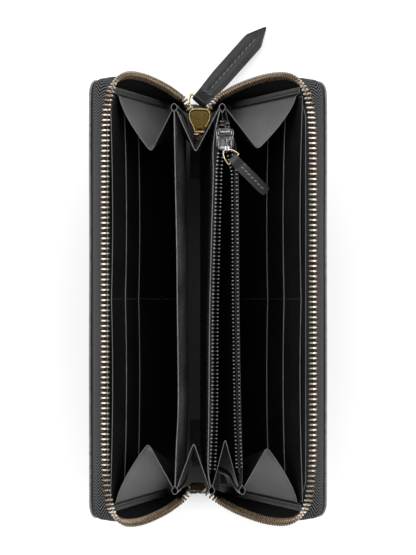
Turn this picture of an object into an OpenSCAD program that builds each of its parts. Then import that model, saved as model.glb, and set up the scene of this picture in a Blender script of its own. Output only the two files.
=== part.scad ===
// Zip-around long wallet, open in a V and standing on its spine, mouth up.
// X runs across the spine, Y along it towards the zip slider, Z up. The origin is the middle of the
// spine's underside.

/* [Covers] */
// Length of each cover along the spine
cover_l = 193.5; // [150:0.5:240]
// Depth of each cover from its hinge line to its mouth edge
cover_d = 102; // [85:0.5:130]
// Radius of a cover's two mouth corners
corner_r = 7; // [6:0.5:14]
// Thickness of the outer leather
leather_t = 1.2; // [0.8:0.1:2]
// Thickness of the stiffener board
board_t = 0.6; // [0.4:0.1:1.2]
// Thickness of the lining
lining_t = 0.4; // [0.2:0.1:0.8]
// Lean of the left cover from upright, wide open
tilt_left = 20.2; // [15:0.1:35]
// Lean of the right cover from upright, wide open
tilt_right = 26.6; // [20:0.1:40]

/* [Spine] */
// Distance between the two hinge lines
hinge_gap = 20; // [17:0.5:30]
// Clear strip between the spine leather and a cover's rolled foot
spine_clear = 0.2; // [0.1:0.1:1]

/* [Card pockets] */
// Number of stepped card tiers on each cover
tiers = 3; // [1:1:4]
// Distance from the mouth edge down to the first tier's edge
first_tier_drop = 16.2; // [14:0.2:24]
// Step between two tiers
tier_pitch = 15; // [10:0.5:18]
// Depth of a card pocket
pocket_d = 50; // [40:1:54]
// Thickness of a tier's leather
tier_t = 0.35; // [0.2:0.05:0.4]
// Thickness of the bill pocket's front wall
backing_t = 0.45; // [0.3:0.05:0.5]
// Width of the flat bill pocket behind the cards
bill_gap = 0.35; // [0.2:0.05:0.4]
// Margin from a cover's end to the card panels
card_margin = 5.75; // [5.5:0.25:9]

/* [Main zip] */
// Spacing of the teeth
tooth_pitch = 2.23; // [1.8:0.01:3]
// Length of a tooth across the chain
tooth_l = 3.8; // [3:0.1:4.4]
// Thickness of a tooth along the chain
tooth_t = 1.1; // [0.7:0.05:1.3]
// Height of a tooth
tooth_h = 2.2; // [1.6:0.1:3]
// Distance from the closed wallet's middle to the middle of a row of teeth
row_from_middle = 2.6; // [2.3:0.1:3.2]
// How far a row of teeth stands out past the cover's edge
row_out = 3.3; // [2.5:0.1:5]
// Thickness of the tape
tape_t = 0.5; // [0.3:0.05:0.8]
// Width of tape that is sewn to the cover
tape_hem = 5; // [3:0.5:5.5]
// Distance from the hinge line to the first tooth
zip_start = 24; // [22:0.5:32]

/* [Slider and pull] */
// Width of the slider
slider_w = 10.8; // [9:0.1:12]
// Length of the slider
slider_l = 11.7; // [10:0.1:14]
// Depth of the slider
slider_h = 5.2; // [4.5:0.1:6.5]
// Height of the slider's underside over the table
slider_z = 13; // [12:0.5:16]
// Wire radius of the D-ring
ring_wire = 0.6; // [0.4:0.05:0.7]
// Half the length of the D-ring's bar
ring_r = 5.5; // [5:0.1:6]
// Length of the leather pull
pull_l = 50.5; // [35:0.5:52]
// Width of the leather pull at its widest
pull_w = 9.8; // [7:0.1:10.4]
// Thickness of the leather pull
pull_t = 2.2; // [1.6:0.1:2.6]
// Direction of the pull in plan, from +X
pull_azimuth = 49.3; // [30:1:80]
// Slope of the pull down to the table
pull_droop = 12.2; // [5:0.2:12.4]

/* [Leaves] */
// Distance from the covers' depth down to the leaves' top
leaf_drop = 22; // [20:0.5:40]
// Thickness of a leaf
leaf_t = 1; // [0.6:0.1:1.2]
// Distance from a cover's end to a leaf's end
leaf_margin = 9.75; // [9:0.25:14]
// How far the leaves' lower corners are cut back, to clear the ends of the zip
foot_cut = 9; // [8:0.5:16]
// Place of the divider's foot, from the left hinge line
divider_foot = 3; // [2.8:0.1:4]
// Lean of the divider to the left
divider_tilt = 1.6; // [0:0.1:4]
// Place of the coin pocket's left foot, from the middle
coin_foot = 1.5; // [1:0.1:2]
// Distance between the coin pocket's two feet
coin_foot_gap = 3.5; // [3:0.1:4]
// Lean of the coin pocket's left wall to the right
coin_tilt_left = 3.2; // [2:0.1:5]
// Lean of the coin pocket's right wall to the right
coin_tilt_right = 10.6; // [9:0.1:14]

/* [Coin zip] */
// Spacing of the teeth
coin_pitch = 1.7; // [1.4:0.05:2.2]
// Length of a tooth across the chain
coin_tooth_l = 3; // [2:0.1:3.2]
// Thickness of a tooth along the chain
coin_tooth_t = 0.85; // [0.6:0.05:1]
// Height of a tooth
coin_tooth_h = 1.6; // [1.2:0.1:1.8]
// Half the opening between the middles of the rows
coin_open = 4.25; // [3.6:0.05:4.6]
// Width of the coin slider
coin_slider_w = 7.6; // [6.5:0.1:8]
// Length of the coin slider
coin_slider_l = 9.4; // [8:0.1:11]
// Wire radius of the coin D-ring
coin_wire = 0.45; // [0.3:0.05:0.5]
// Half the length of the coin D-ring's bar
coin_ring_r = 3; // [2.8:0.1:3.4]
// Length of the straight sides of the coin D-ring
coin_ring_side = 3.2; // [3:0.1:3.6]
// Length of the coin pull
coin_tab_l = 23.5; // [15:0.5:25]
// Width of the coin pull
coin_tab_w = 4.3; // [3.5:0.1:5]
// Thickness of the coin pull
coin_tab_t = 1.4; // [1:0.1:1.6]

/* [Gussets] */
// Thickness of a folded end gusset
gusset_t = 0.5; // [0.3:0.1:0.7]
// How far the fold reaches in from the leaves' ends, at the mouth
fold_in = 22; // [12:0.5:26]
// How far the fold reaches in from the leaves' cut lower corners, at the foot
fold_foot = 5; // [3:0.5:8]

/* [Hidden] */
$fn = 64;
cover_t = leather_t + board_t + lining_t;
hinge_x = hinge_gap / 2;
hinge_z = cover_t;
half_l = cover_l / 2;
board_inset = 4;
lining_inset = 1;
card_half = half_l - card_margin;
backing_x = bill_gap;
tier_x = backing_x + backing_t;
backing_lip = 2.2;
card_foot = 6;
row_in = hinge_x - row_from_middle;
row_r = corner_r + row_out;
tooth_grip = 0.9;
spine_half = hinge_x - cover_t - spine_clear;
spine_end = 1.5;
leaf_top = cover_d - leaf_drop;
leaf_z = cover_t + leaf_t;
leaf_h = leaf_top - leaf_z;
leaf_half = half_l - leaf_margin;
foot_half = leaf_half - foot_cut;
foot_rise = 18;
foot_slope = 27;
leaf_corner = 2;
divider_x = -hinge_x + divider_foot;
coin_right_foot = coin_foot + coin_foot_gap;
coin_left_x = coin_foot + leaf_h * tan(coin_tilt_left);
coin_right_x = coin_right_foot + leaf_h * tan(coin_tilt_right);
coin_mid_x = (coin_left_x + coin_right_x) / 2;
coin_row_clear = 0.5;
coin_row_room = (coin_right_x - coin_left_x) / 2 - leaf_t / 2 - coin_row_clear;
coin_row_half = min(coin_open, coin_row_room - coin_tooth_l / 2);
coin_row_z = leaf_top + 0.2;
coin_slider_y = leaf_half - 20.4;
coin_row_end = leaf_half - 9;
coin_meet = 1.9;
coin_merge = 22;
coin_tape_t = 0.4;
coin_plate = 0.8;
coin_channel = coin_tooth_h + 1.4;
coin_slider_z = coin_row_z - coin_channel / 2 - coin_plate;
coin_slider_h = coin_channel + 2 * coin_plate;
coin_ring_z = coin_slider_z + coin_slider_h + 1.3;
coin_azimuth = -42.8;
coin_droop = 31;
coin_bar_out = [3.95, -4.4];
coin_post_out = [0.85, -0.4];
coin_bar = [coin_mid_x + coin_bar_out[0], coin_slider_y + coin_bar_out[1], coin_ring_z];
slider_x = 0.9;
slider_setback = 15.95;
slider_y = half_l - slider_setback;
plate_t = 1.2;
ring_z = slider_z - 1.1;
ring_hook = slider_y + slider_l - 0.9;
bar_at = [slider_x + 0.4, ring_hook + ring_r, ring_z];
gusset_clear = 0.3;
gusset_foot_z = 22;
eps = 0.01;

// ---- Frames and helpers ----

// Stands a cover's own frame on its hinge line: +X inwards, +Z along the cover. side is -1 or 1.
module on_cover(side) {
    tilt = side < 0 ? tilt_left : tilt_right;
    mirror([side < 0 ? 0 : 1, 0, 0])
        translate([-hinge_x, 0, hinge_z])
            rotate([0, -tilt, 0])
                children();
}

// Where a point of a cover's own frame stands, as [x, z].
function cover_at(side, x, z) =
    let (tilt = side < 0 ? tilt_left : tilt_right)
    [side * (hinge_x - x * cos(tilt) + z * sin(tilt)), hinge_z + x * sin(tilt) + z * cos(tilt)];

// Where a leaf's middle stands at a height, from its foot and its lean to the right.
function leaf_at(foot, tilt, z) = foot + (z - leaf_z) * tan(tilt);

// A plan drawn in Y and Z, thickened along +X.
module sheet(x, t) {
    translate([x, 0, 0])
        rotate([90, 0, 90])
            linear_extrude(t)
                children();
}

// A cover's outline with its two mouth corners round, inset all round from the cover's edge.
module cover_plan(inset, foot) {
    r = max(corner_r - inset, 1);
    half = half_l - inset;
    top = cover_d - inset;
    translate([-half, foot])
        square([2 * half, top - r - foot]);
    translate([-half + r, foot])
        square([2 * (half - r), top - foot]);
    for (side = [-1, 1])
        translate([side * (half - r), top - r])
            circle(r);
}

// A leaf's outline: its lower corners are cut back, its top corners round.
module leaf_plan() {
    slope = foot_rise + foot_slope;
    polygon([
        [-foot_half, 0], [foot_half, 0], [foot_half, foot_rise], [leaf_half, slope],
        [leaf_half, leaf_h - leaf_corner], [leaf_half - leaf_corner, leaf_h],
        [-leaf_half + leaf_corner, leaf_h], [-leaf_half, leaf_h - leaf_corner],
        [-leaf_half, slope], [-foot_half, foot_rise]
    ]);
}

// A leaf that stands on a round bead, which is its hinge.
module leaf(foot, tilt) {
    translate([foot, 0, leaf_z])
        rotate([0, tilt, 0]) {
            rotate([90, 0, 0])
                cylinder(r = leaf_t / 2, h = 2 * foot_half, center = true);
            sheet(-leaf_t / 2, leaf_t)
                leaf_plan();
        }
}

// ---- Spine ----

module spine_slab(z, t, inset) {
    translate([-spine_half + inset, -half_l + spine_end, z])
        cube([2 * (spine_half - inset), cover_l - 2 * spine_end, t]);
}

module spine_leather() {
    color([0.07, 0.07, 0.075])
        spine_slab(0, leather_t, 0);
}

module spine_board() {
    color([0.35, 0.33, 0.30])
        spine_slab(leather_t, board_t, 1);
}

module spine_lining() {
    color([0.13, 0.13, 0.14])
        spine_slab(leather_t + board_t, lining_t, 0);
}

// ---- Covers ----

// The outer leather: a flat panel, and a quarter roll round the hinge line at its foot.
module cover_leather(side) {
    color([0.06, 0.06, 0.065])
        on_cover(side) {
            sheet(-cover_t, leather_t)
                cover_plan(0, 0);
            intersection() {
                rotate([90, 0, 0])
                    difference() {
                        cylinder(r = cover_t, h = cover_l, center = true);
                        cylinder(r = cover_t - leather_t, h = cover_l + 1, center = true);
                    }
                translate([-2 * cover_t, -half_l, -2 * cover_t])
                    cube([2 * cover_t, cover_l, 2 * cover_t]);
            }
        }
}

module cover_board(side) {
    color([0.35, 0.33, 0.30])
        on_cover(side)
            sheet(-board_t - lining_t, board_t)
                cover_plan(board_inset, board_inset);
}

module cover_lining(side) {
    color([0.12, 0.12, 0.13])
        on_cover(side)
            sheet(-lining_t, lining_t)
                cover_plan(lining_inset, lining_inset);
}

module card_backing(side) {
    top = cover_d - first_tier_drop + backing_lip;
    color([0.10, 0.10, 0.11])
        on_cover(side)
            sheet(backing_x, backing_t)
                translate([-card_half, card_foot])
                    square([2 * card_half, top - card_foot]);
}

// Card tier n, counted from the mouth. Each lies on the one before it.
module card_pocket(side, n) {
    top = cover_d - first_tier_drop - (n - 1) * tier_pitch;
    foot = max(card_foot, top - pocket_d);
    color([0.09, 0.09, 0.10])
        on_cover(side)
            sheet(tier_x + (n - 1) * tier_t, tier_t)
                translate([-card_half, foot])
                    square([2 * card_half, top - foot]);
}

// ---- Main zip ----

// The tape's section: x inwards from the cover's lining, y outwards past the cover's edge.
module tape_section() {
    reach = row_in - tooth_l / 2 + tooth_grip;
    polygon([
        [eps, -tape_hem], [eps, -0.1], [reach - tape_t / 2, row_out + tape_t / 2],
        [reach, row_out - tape_t / 2], [tape_t, -tape_t - 0.1], [tape_t, -tape_hem]
    ]);
}

// The tape runs up one end of the cover, round both mouth corners and down the other end.
module zip_tape(side) {
    leg = cover_d - corner_r - zip_start;
    color([0.16, 0.16, 0.17])
        on_cover(side) {
            translate([0, 0, cover_d])
                rotate([90, 0, 0])
                    linear_extrude(cover_l - 2 * corner_r, center = true)
                        tape_section();
            for (end = [0, 1])
                mirror([0, end, 0]) {
                    translate([0, half_l, zip_start])
                        linear_extrude(leg)
                            tape_section();
                    translate([0, half_l - corner_r, cover_d - corner_r])
                        rotate([90, 0, 90])
                            rotate_extrude(angle = 90)
                                translate([corner_r, 0])
                                    mirror([1, -1])
                                        tape_section();
                }
        }
}

// One tooth, pointing inwards along +X, with its tip bevelled.
module tooth() {
    bevel = 0.3;
    translate([row_in - tooth_l / 2, 0, -tooth_h / 2])
        linear_extrude(tooth_h)
            polygon([
                [0, -tooth_t / 2], [tooth_l - bevel, -tooth_t / 2], [tooth_l, -tooth_t / 2 + bevel],
                [tooth_l, tooth_t / 2 - bevel], [tooth_l - bevel, tooth_t / 2], [0, tooth_t / 2]
            ]);
}

// Where a row of teeth is after a length s: [y, z, direction in the Y Z plane].
function row_at(s) =
    let (
        leg = cover_d - corner_r - zip_start,
        arc = row_r * PI / 2,
        long = cover_l - 2 * corner_r,
        y0 = half_l - corner_r,
        z0 = cover_d - corner_r,
        a1 = (s - leg) / row_r * 180 / PI,
        a2 = (s - leg - arc - long) / row_r * 180 / PI
    )
    s < leg ? [half_l + row_out, zip_start + s, 90]
    : s < leg + arc ? [y0 + row_r * cos(a1), z0 + row_r * sin(a1), 90 + a1]
    : s < leg + arc + long ? [y0 - (s - leg - arc), cover_d + row_out, 180]
    : s < leg + 2 * arc + long ? [-y0 - row_r * sin(a2), z0 + row_r * cos(a2), 180 + a2]
    : [-half_l - row_out, z0 - (s - leg - 2 * arc - long), 270];

module zip_teeth(side) {
    total = 2 * (cover_d - corner_r - zip_start) + row_r * PI + cover_l - 2 * corner_r;
    count = floor((total - tooth_pitch) / tooth_pitch);
    start = side < 0 ? 0.25 : 0.75;
    color([0.62, 0.50, 0.30])
        on_cover(side)
            for (n = [0 : count - 1]) {
                at = row_at((n + start) * tooth_pitch);
                translate([0, at[0], at[1]])
                    rotate([at[2], 0, 0])
                        tooth();
            }
}

// A slider's plan: wide round shoulders at the far end, narrow at the near end.
module slider_plan(w, l, tail_w, r) {
    polygon([
        [-tail_w / 2, 0], [tail_w / 2, 0], [w / 2, l * 0.5], [w / 2, l - r],
        [w / 2 - r, l], [-w / 2 + r, l], [-w / 2, l - r], [-w / 2, l * 0.5]
    ]);
    for (side = [-1, 1])
        translate([side * (w / 2 - r), l - r])
            circle(r);
}

// Where the slider's channel is open: everywhere but at the post and at the side walls.
module slider_channel_plan() {
    wall = 0.8;
    post = [2.2, 3.4];
    difference() {
        translate([-slider_w, -slider_l])
            square([2 * slider_w, 3 * slider_l]);
        translate([-post[0] / 2, slider_l - post[1]])
            square(post);
        for (side = [-1, 1])
            translate([side * (slider_w / 2 - wall / 2), slider_l * 0.6])
                square([wall, slider_l * 0.4], center = true);
    }
}

// The main slider lies with its bridge down: two plates on a post, with slotted side walls.
module slider_body() {
    tail_w = 5.6;
    tape_slot = 1.4;
    wall_in = slider_w / 2 - 2;
    color([0.66, 0.53, 0.30])
        translate([slider_x, slider_y, slider_z]) {
            difference() {
                linear_extrude(slider_h)
                    slider_plan(slider_w, slider_l, tail_w, 3);
                translate([0, 0, plate_t])
                    linear_extrude(slider_h - 2 * plate_t)
                        slider_channel_plan();
                for (side = [-1, 1])
                    translate([side * (wall_in + slider_w / 2), slider_l / 2, slider_h / 2])
                        cube([slider_w, 2 * slider_l, tape_slot], center = true);
            }
            slider_bridge();
        }
}

// The bridge under the slider's lower plate: a strap with a post at each end.
module slider_bridge() {
    w = 1.6;
    strap = 0.8;
    drop = 2.2;
    near = 2.4;
    far = slider_l + 0.5;
    post = 0.6;
    translate([-w / 2, near, -drop - strap])
        cube([w, far - near, strap]);
    translate([-w / 2, near, -drop - eps])
        cube([w, 1, drop + 2 * eps]);
    translate([-w / 2, far - post, -drop - eps])
        cube([w, post, drop + plate_t]);
    translate([-w / 2, slider_l - 1, eps])
        cube([w, far - slider_l + 1 - eps, plate_t - eps]);
}

// A tape tail: level where it leaves the zip's end, then bent down to the spine. end is 1 or -1.
module tape_tail(end) {
    w = 5.2;
    level = slider_z + (slider_h - tape_t) / 2;
    floor_z = cover_t + 0.05;
    out = slider_y + 2.6;
    bend = slider_y - 9;
    foot = slider_y - 17;
    mirror([0, end < 0 ? 1 : 0, 0])
        translate([slider_x - 1 - w, 0, 0])
            rotate([90, 0, 90])
                linear_extrude(w)
                    polygon([
                        [out, level], [out, level + tape_t], [bend, level + tape_t],
                        [foot, floor_z + tape_t], [foot - 4, floor_z + tape_t], [foot - 4, floor_z],
                        [foot + tape_t, floor_z], [bend + tape_t, level]
                    ]);
}

module zip_tail_front() {
    color([0.16, 0.16, 0.17])
        tape_tail(1);
}

module zip_tail_back() {
    color([0.16, 0.16, 0.17])
        tape_tail(-1);
}

// The bottom stop closes both ends of the chain at the back end of the spine.
module zip_stop() {
    size = [7, 4, 3];
    color([0.60, 0.48, 0.28])
        translate([slider_x - 4.6, -half_l + 3.5, slider_z + 1])
            cube(size);
}

// A D-ring: a bar along Y at the origin, two sides and a half round bow towards -X.
module d_ring(r, wire, sides) {
    rotate([90, 0, 0])
        cylinder(r = wire, h = 2 * r + 2 * wire, center = true);
    if (sides > 0)
        for (side = [-1, 1])
            translate([0, side * r, 0])
                rotate([0, -90, 0])
                    cylinder(r = wire, h = sides);
    translate([-sides, 0, 0])
        rotate([0, 0, 90])
            rotate_extrude(angle = 180)
                translate([r, 0])
                    circle(wire);
}

module main_ring() {
    color([0.74, 0.60, 0.33])
        translate(bar_at)
            rotate([0, 0, pull_azimuth])
                d_ring(ring_r, ring_wire, 0);
}

// A leather pull: a loop round the ring's bar, then a flat strap along +X.
module strap_pull(l, w, base_w, t, wire, tip) {
    loop_r = wire + 0.15 + t / 2;
    difference() {
        union() {
            rotate([90, 0, 0])
                cylinder(r = loop_r, h = base_w, center = true);
            translate([0, 0, -t / 2])
                linear_extrude(t)
                    polygon([
                        [0, -base_w / 2], [l * 0.35, -w / 2], [l - tip, -w / 2], [l, -w * 0.06],
                        [l, w * 0.06], [l - tip, w / 2], [l * 0.35, w / 2], [0, base_w / 2]
                    ]);
        }
        rotate([90, 0, 0])
            cylinder(r = wire + 0.15, h = base_w + 1, center = true);
    }
}

module main_pull() {
    color([0.08, 0.08, 0.085])
        translate(bar_at)
            rotate([0, pull_droop, pull_azimuth])
                strap_pull(pull_l, pull_w, pull_w - 2, pull_t, ring_wire, 9);
}

// ---- Leaves and coin pocket ----

module divider() {
    color([0.11, 0.11, 0.12])
        leaf(divider_x, -divider_tilt);
}

module coin_wall_left() {
    color([0.12, 0.12, 0.13])
        leaf(coin_foot, coin_tilt_left);
}

module coin_wall_right() {
    color([0.12, 0.12, 0.13])
        leaf(coin_right_foot, coin_tilt_right);
}

// How far a row of the coin zip stands from the middle: it closes in on the slider's mouth.
function coin_row(y) =
    let (u = min(max((coin_slider_y - y) / coin_merge, 0), 1))
    coin_meet + (coin_row_half - coin_meet) * u * u * (3 - 2 * u);

module coin_teeth(side) {
    first = -coin_row_end + 2;
    count = floor((coin_slider_y - 1 - first) / coin_pitch);
    start = side < 0 ? 0 : coin_pitch / 2;
    color([0.10, 0.10, 0.11])
        for (n = [0 : count - 1]) {
            y = first + start + n * coin_pitch;
            translate([coin_mid_x + side * coin_row(y), y, coin_row_z])
                cube([coin_tooth_l, coin_tooth_t, coin_tooth_h], center = true);
        }
}

// The coin zip's tape: from the wall's inner side, over its top, to the row of teeth.
module coin_tape(side) {
    t = coin_tape_t;
    wall = side < 0 ? coin_left_x : coin_right_x;
    tilt = side < 0 ? coin_tilt_left : coin_tilt_right;
    inner = wall - side * (leaf_t / 2 + 0.15);
    hang = 4;
    below = inner - hang * tan(tilt);
    row = coin_mid_x + side * (coin_row_half + coin_tooth_l / 2);
    color([0.16, 0.16, 0.17])
        rotate([90, 0, 0])
            linear_extrude(2 * coin_row_end, center = true)
                polygon([
                    [below, coin_row_z - hang], [inner, coin_row_z - t], [row, coin_row_z - t / 2],
                    [row, coin_row_z - t / 2 - t], [inner - side * t, coin_row_z - 2 * t],
                    [below - side * t, coin_row_z - hang]
                ]);
}

// The joined end of the coin zip, behind the slider.
module coin_zip_end() {
    y = coin_slider_y + coin_slider_l + 0.3;
    color([0.12, 0.12, 0.13])
        translate([coin_mid_x - 2.4, y, coin_row_z - coin_tooth_h / 2])
            cube([4.8, 5, coin_tooth_h]);
}

// The coin slider: two plates on a post, with side walls that leave slots for the tapes.
module coin_slider() {
    wall = 0.5;
    slot = 1;
    color([0.09, 0.09, 0.10])
        translate([coin_mid_x, coin_slider_y, coin_slider_z]) {
            linear_extrude(coin_plate)
                slider_back();
            translate([0, 0, coin_slider_h - coin_plate])
                linear_extrude(coin_plate)
                    slider_back();
            for (side = [-1, 1], z = [coin_plate, coin_slider_h - coin_plate - slot + 0.1])
                translate([side * (coin_slider_w / 2 - wall / 2) - wall / 2, 2, z - 0.05])
                    cube([wall, coin_slider_l * 0.5, slot - 0.05]);
            translate([-0.5, 1, coin_plate - eps])
                cube([1, 2.6, coin_channel + 2 * eps]);
            coin_bridge();
        }
}

// The coin slider's plan: the wide mouth is at the near end.
module slider_back() {
    translate([0, coin_slider_l, 0])
        mirror([0, 1])
            slider_plan(coin_slider_w, coin_slider_l, 4.4, 2);
}

// The bridge over the coin slider: a post that the ring hooks round, and a strap back to the plate.
module coin_bridge() {
    x = coin_post_out[0];
    y = coin_post_out[1];
    lift = 1.9;
    strap = 0.7;
    far = 6;
    translate([x, y, coin_slider_h - coin_plate])
        cylinder(r = 0.4, h = coin_plate + lift + eps);
    translate([x - 0.4, y, coin_slider_h + lift])
        cube([0.8, far, strap]);
    translate([x - 0.4, y + far - 1, coin_slider_h - eps])
        cube([0.8, 1, lift + 2 * eps]);
    translate([x - 0.5, y - 0.4, coin_slider_h - coin_plate])
        cube([1, 1.4, coin_plate]);
}

module coin_ring() {
    color([0.78, 0.72, 0.58])
        translate(coin_bar)
            rotate([0, 0, coin_azimuth])
                d_ring(coin_ring_r, coin_wire, coin_ring_side);
}

module coin_tab() {
    color([0.09, 0.09, 0.10])
        translate(coin_bar)
            rotate([0, coin_droop, coin_azimuth])
                strap_pull(coin_tab_l, coin_tab_w, coin_tab_w, coin_tab_t, coin_wire, 1.5);
}

// ---- Gussets ----

// A V in plan at one height: the compartment side a, f, b, then the outer side, as six points.
function v_ring(a, f, b) =
    let (
        rise = (a[1] + b[1]) / 2 - f[1],
        span = (b[0] - a[0]) / 2,
        fold = gusset_t * rise / span
    )
    [a, f, b, b - [gusset_t, 0, 0], f + [0, fold, 0], a + [gusset_t, 0, 0]];

// A folded sheet between a V at its foot and a V at its top.
module v_sheet(foot, top) {
    n = 6;
    sides = [for (i = [0 : n - 1]) [n + i, n + (i + 1) % n, (i + 1) % n, i]];
    split = [for (q = sides) each [[q[0], q[1], q[2]], [q[0], q[2], q[3]]]];
    low = [[0, 1, 4], [0, 4, 5], [1, 2, 3], [1, 3, 4]];
    high = [for (f = low) [f[2] + n, f[1] + n, f[0] + n]];
    polyhedron(points = concat(foot, top), faces = concat(split, low, high));
}

// x of each compartment's left and right side at a height z.
function card_face(side, z) =
    let (
        tilt = side < 0 ? tilt_left : tilt_right,
        face = tier_x + tiers * tier_t,
        along = (z - hinge_z - face * sin(tilt)) / cos(tilt)
    )
    cover_at(side, face, along)[0];
function left_side(n, z) =
    n == 1 ? card_face(-1, z)
    : n == 2 ? leaf_at(divider_x, -divider_tilt, z) + leaf_t / 2
    : n == 3 ? leaf_at(coin_foot, coin_tilt_left, z) + leaf_t / 2
    : leaf_at(coin_right_foot, coin_tilt_right, z) + leaf_t / 2;
function right_side(n, z) =
    n == 1 ? leaf_at(divider_x, -divider_tilt, z) - leaf_t / 2
    : n == 2 ? leaf_at(coin_foot, coin_tilt_left, z) - leaf_t / 2
    : n == 3 ? leaf_at(coin_right_foot, coin_tilt_right, z) - leaf_t / 2
    : card_face(1, z);

// Gusset n, counted from the left, at the front end (+Y). It folds inwards halfway across.
module gusset(n) {
    low = gusset_foot_z;
    high = leaf_top - (n == 3 ? 5 : 1);
    in = n == 3 ? fold_in - 4 : fold_in;
    a0 = left_side(n, low) + gusset_clear;
    b0 = right_side(n, low) - gusset_clear;
    a1 = left_side(n, high) + gusset_clear;
    b1 = right_side(n, high) - gusset_clear;
    foot_y = foot_half + 1;
    top_y = leaf_half - 0.5;
    color([0.20, 0.20, 0.21])
        v_sheet(
            v_ring(
                [a0, foot_y, low],
                [(a0 + b0) / 2, foot_y - fold_foot, low],
                [b0, foot_y, low]
            ),
            v_ring(
                [a1, top_y, high],
                [(a1 + b1) / 2, top_y - in, high],
                [b1, top_y, high]
            )
        );
}

module gusset_back(n) {
    mirror([0, 1, 0])
        gusset(n);
}

spine_leather();
spine_board();
spine_lining();
slider_body();
zip_tail_front();
zip_tail_back();
zip_stop();
cover_leather(-1);  // cover_leather_left
cover_board(-1);  // cover_board_left
cover_lining(-1);  // cover_lining_left
card_backing(-1);  // card_backing_left
card_pocket(-1, 1);  // card_pocket_left_1
card_pocket(-1, 2);  // card_pocket_left_2
card_pocket(-1, 3);  // card_pocket_left_3
zip_tape(-1);  // zip_tape_left
zip_teeth(-1);  // zip_teeth_left
cover_leather(1);  // cover_leather_right
cover_board(1);  // cover_board_right
cover_lining(1);  // cover_lining_right
card_backing(1);  // card_backing_right
card_pocket(1, 1);  // card_pocket_right_1
card_pocket(1, 2);  // card_pocket_right_2
card_pocket(1, 3);  // card_pocket_right_3
zip_tape(1);  // zip_tape_right
zip_teeth(1);  // zip_teeth_right
divider();
coin_wall_left();
coin_wall_right();
coin_tape(-1);  // coin_tape_left
coin_tape(1);  // coin_tape_right
coin_teeth(-1);  // coin_teeth_left
coin_teeth(1);  // coin_teeth_right
coin_zip_end();
coin_slider();
coin_ring();
coin_tab();
gusset(1);  // gusset_1_front
gusset(2);  // gusset_2_front
gusset(3);  // gusset_3_front
gusset(4);  // gusset_4_front
gusset_back(1);  // gusset_1_back
gusset_back(2);  // gusset_2_back
gusset_back(3);  // gusset_3_back
gusset_back(4);  // gusset_4_back
main_ring();
main_pull();
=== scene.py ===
"""Zip-around long wallet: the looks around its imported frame.

Shapes are worked out in millimetres as numpy grids and put into the meshes in metres.
"""
import math

import bpy
import numpy as np
from mathutils import Matrix


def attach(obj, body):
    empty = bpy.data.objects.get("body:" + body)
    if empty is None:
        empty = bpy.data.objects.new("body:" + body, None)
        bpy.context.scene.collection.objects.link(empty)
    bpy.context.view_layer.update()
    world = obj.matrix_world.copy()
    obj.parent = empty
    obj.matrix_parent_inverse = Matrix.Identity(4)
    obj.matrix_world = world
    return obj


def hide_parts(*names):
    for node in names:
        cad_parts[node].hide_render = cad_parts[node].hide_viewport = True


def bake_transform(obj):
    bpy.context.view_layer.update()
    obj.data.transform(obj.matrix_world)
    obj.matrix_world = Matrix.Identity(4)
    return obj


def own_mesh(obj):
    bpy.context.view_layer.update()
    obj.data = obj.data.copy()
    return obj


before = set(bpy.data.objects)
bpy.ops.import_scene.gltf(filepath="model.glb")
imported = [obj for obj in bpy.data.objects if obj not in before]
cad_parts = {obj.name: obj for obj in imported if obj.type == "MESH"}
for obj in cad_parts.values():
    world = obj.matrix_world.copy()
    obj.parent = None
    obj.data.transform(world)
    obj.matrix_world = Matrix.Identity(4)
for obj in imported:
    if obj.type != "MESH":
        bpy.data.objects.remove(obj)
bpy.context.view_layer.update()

MM = 0.001
HALF = 96.75          # half the cover's length
DEPTH = 102.0         # hinge line to mouth edge
HINGE_X = 10.0
HINGE_Z = 2.2
TILT = {-1: math.radians(20.2), 1: math.radians(26.6)}
SIDE = {-1: "left", 1: "right"}
CORNER = 7.0          # radius of a cover's corners
ROW_IN = 7.4          # the row of teeth, inwards from the lining
PITCH = 2.23          # one tooth to the next on the same row
LEAF_Z = 3.2          # a leaf's foot
LEAF_TOP = 80.0
FOOT_HALF = 78.0
COIN_Y = 66.6         # the coin slider's mouth
COIN_MID = 12.58
COIN_ROW_Z = 80.2
RIB, COLUMN, RIB_SLANT = 1.35, 2.2, 1.6      # the zip tape's herringbone
FULL_TURN = 2 * math.pi
LEATHER_T, LINING_T, CARD_BACK_T, TAPE_T, COIN_TAPE_T = 1.2, 0.4, 0.45, 0.5, 0.4      # thicknesses
EDGE_STITCH = (3.0, 2.2, 0.28)      # each kind of stitch: pitch, length, radius
CARD_STITCH = (2.4, 1.7, 0.14)
LEAF_STITCH = (2.6, 1.9, 0.16)
FLANGE_STITCH = (2.7, 2.0, 0.2)
PULL_STITCH = (2.9, 2.3, 0.4)
COIN_PULL_STITCH = (2.4, 1.9, 0.34)

rng = np.random.default_rng(7)


# ---- Small array helpers ----

def unit(v):
    """Vectors scaled to length one along the last axis."""
    n = np.linalg.norm(v, axis=-1, keepdims=True)
    return v / np.maximum(n, 1e-12)


def smooth(x, a=0.0, b=1.0):
    """Smoothstep of x between a and b."""
    t = np.clip((x - a) / (b - a), 0, 1)
    return t * t * (3 - 2 * t)


def xyz(x, y, z):
    """Points from three coordinates, each a number or an array that broadcasts with the others."""
    return np.stack(np.broadcast_arrays(x, y, z), -1).astype(float)


def curve(p, steps):
    """Points on the Catmull-Rom curve through p, whose first and last points only steer it."""
    k = len(p) - 3
    t = np.linspace(0, k, steps * k + 1)[:-1]
    i, f = t.astype(int), (t % 1)[:, None]
    a, b, c, d = p[i], p[i + 1], p[i + 2], p[i + 3]
    cubic = (3 * b - a - 3 * c + d) * f**3
    return 0.5 * (2 * b + (c - a) * f + (2 * a - 5 * b + 4 * c - d) * f**2 + cubic)


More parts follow.
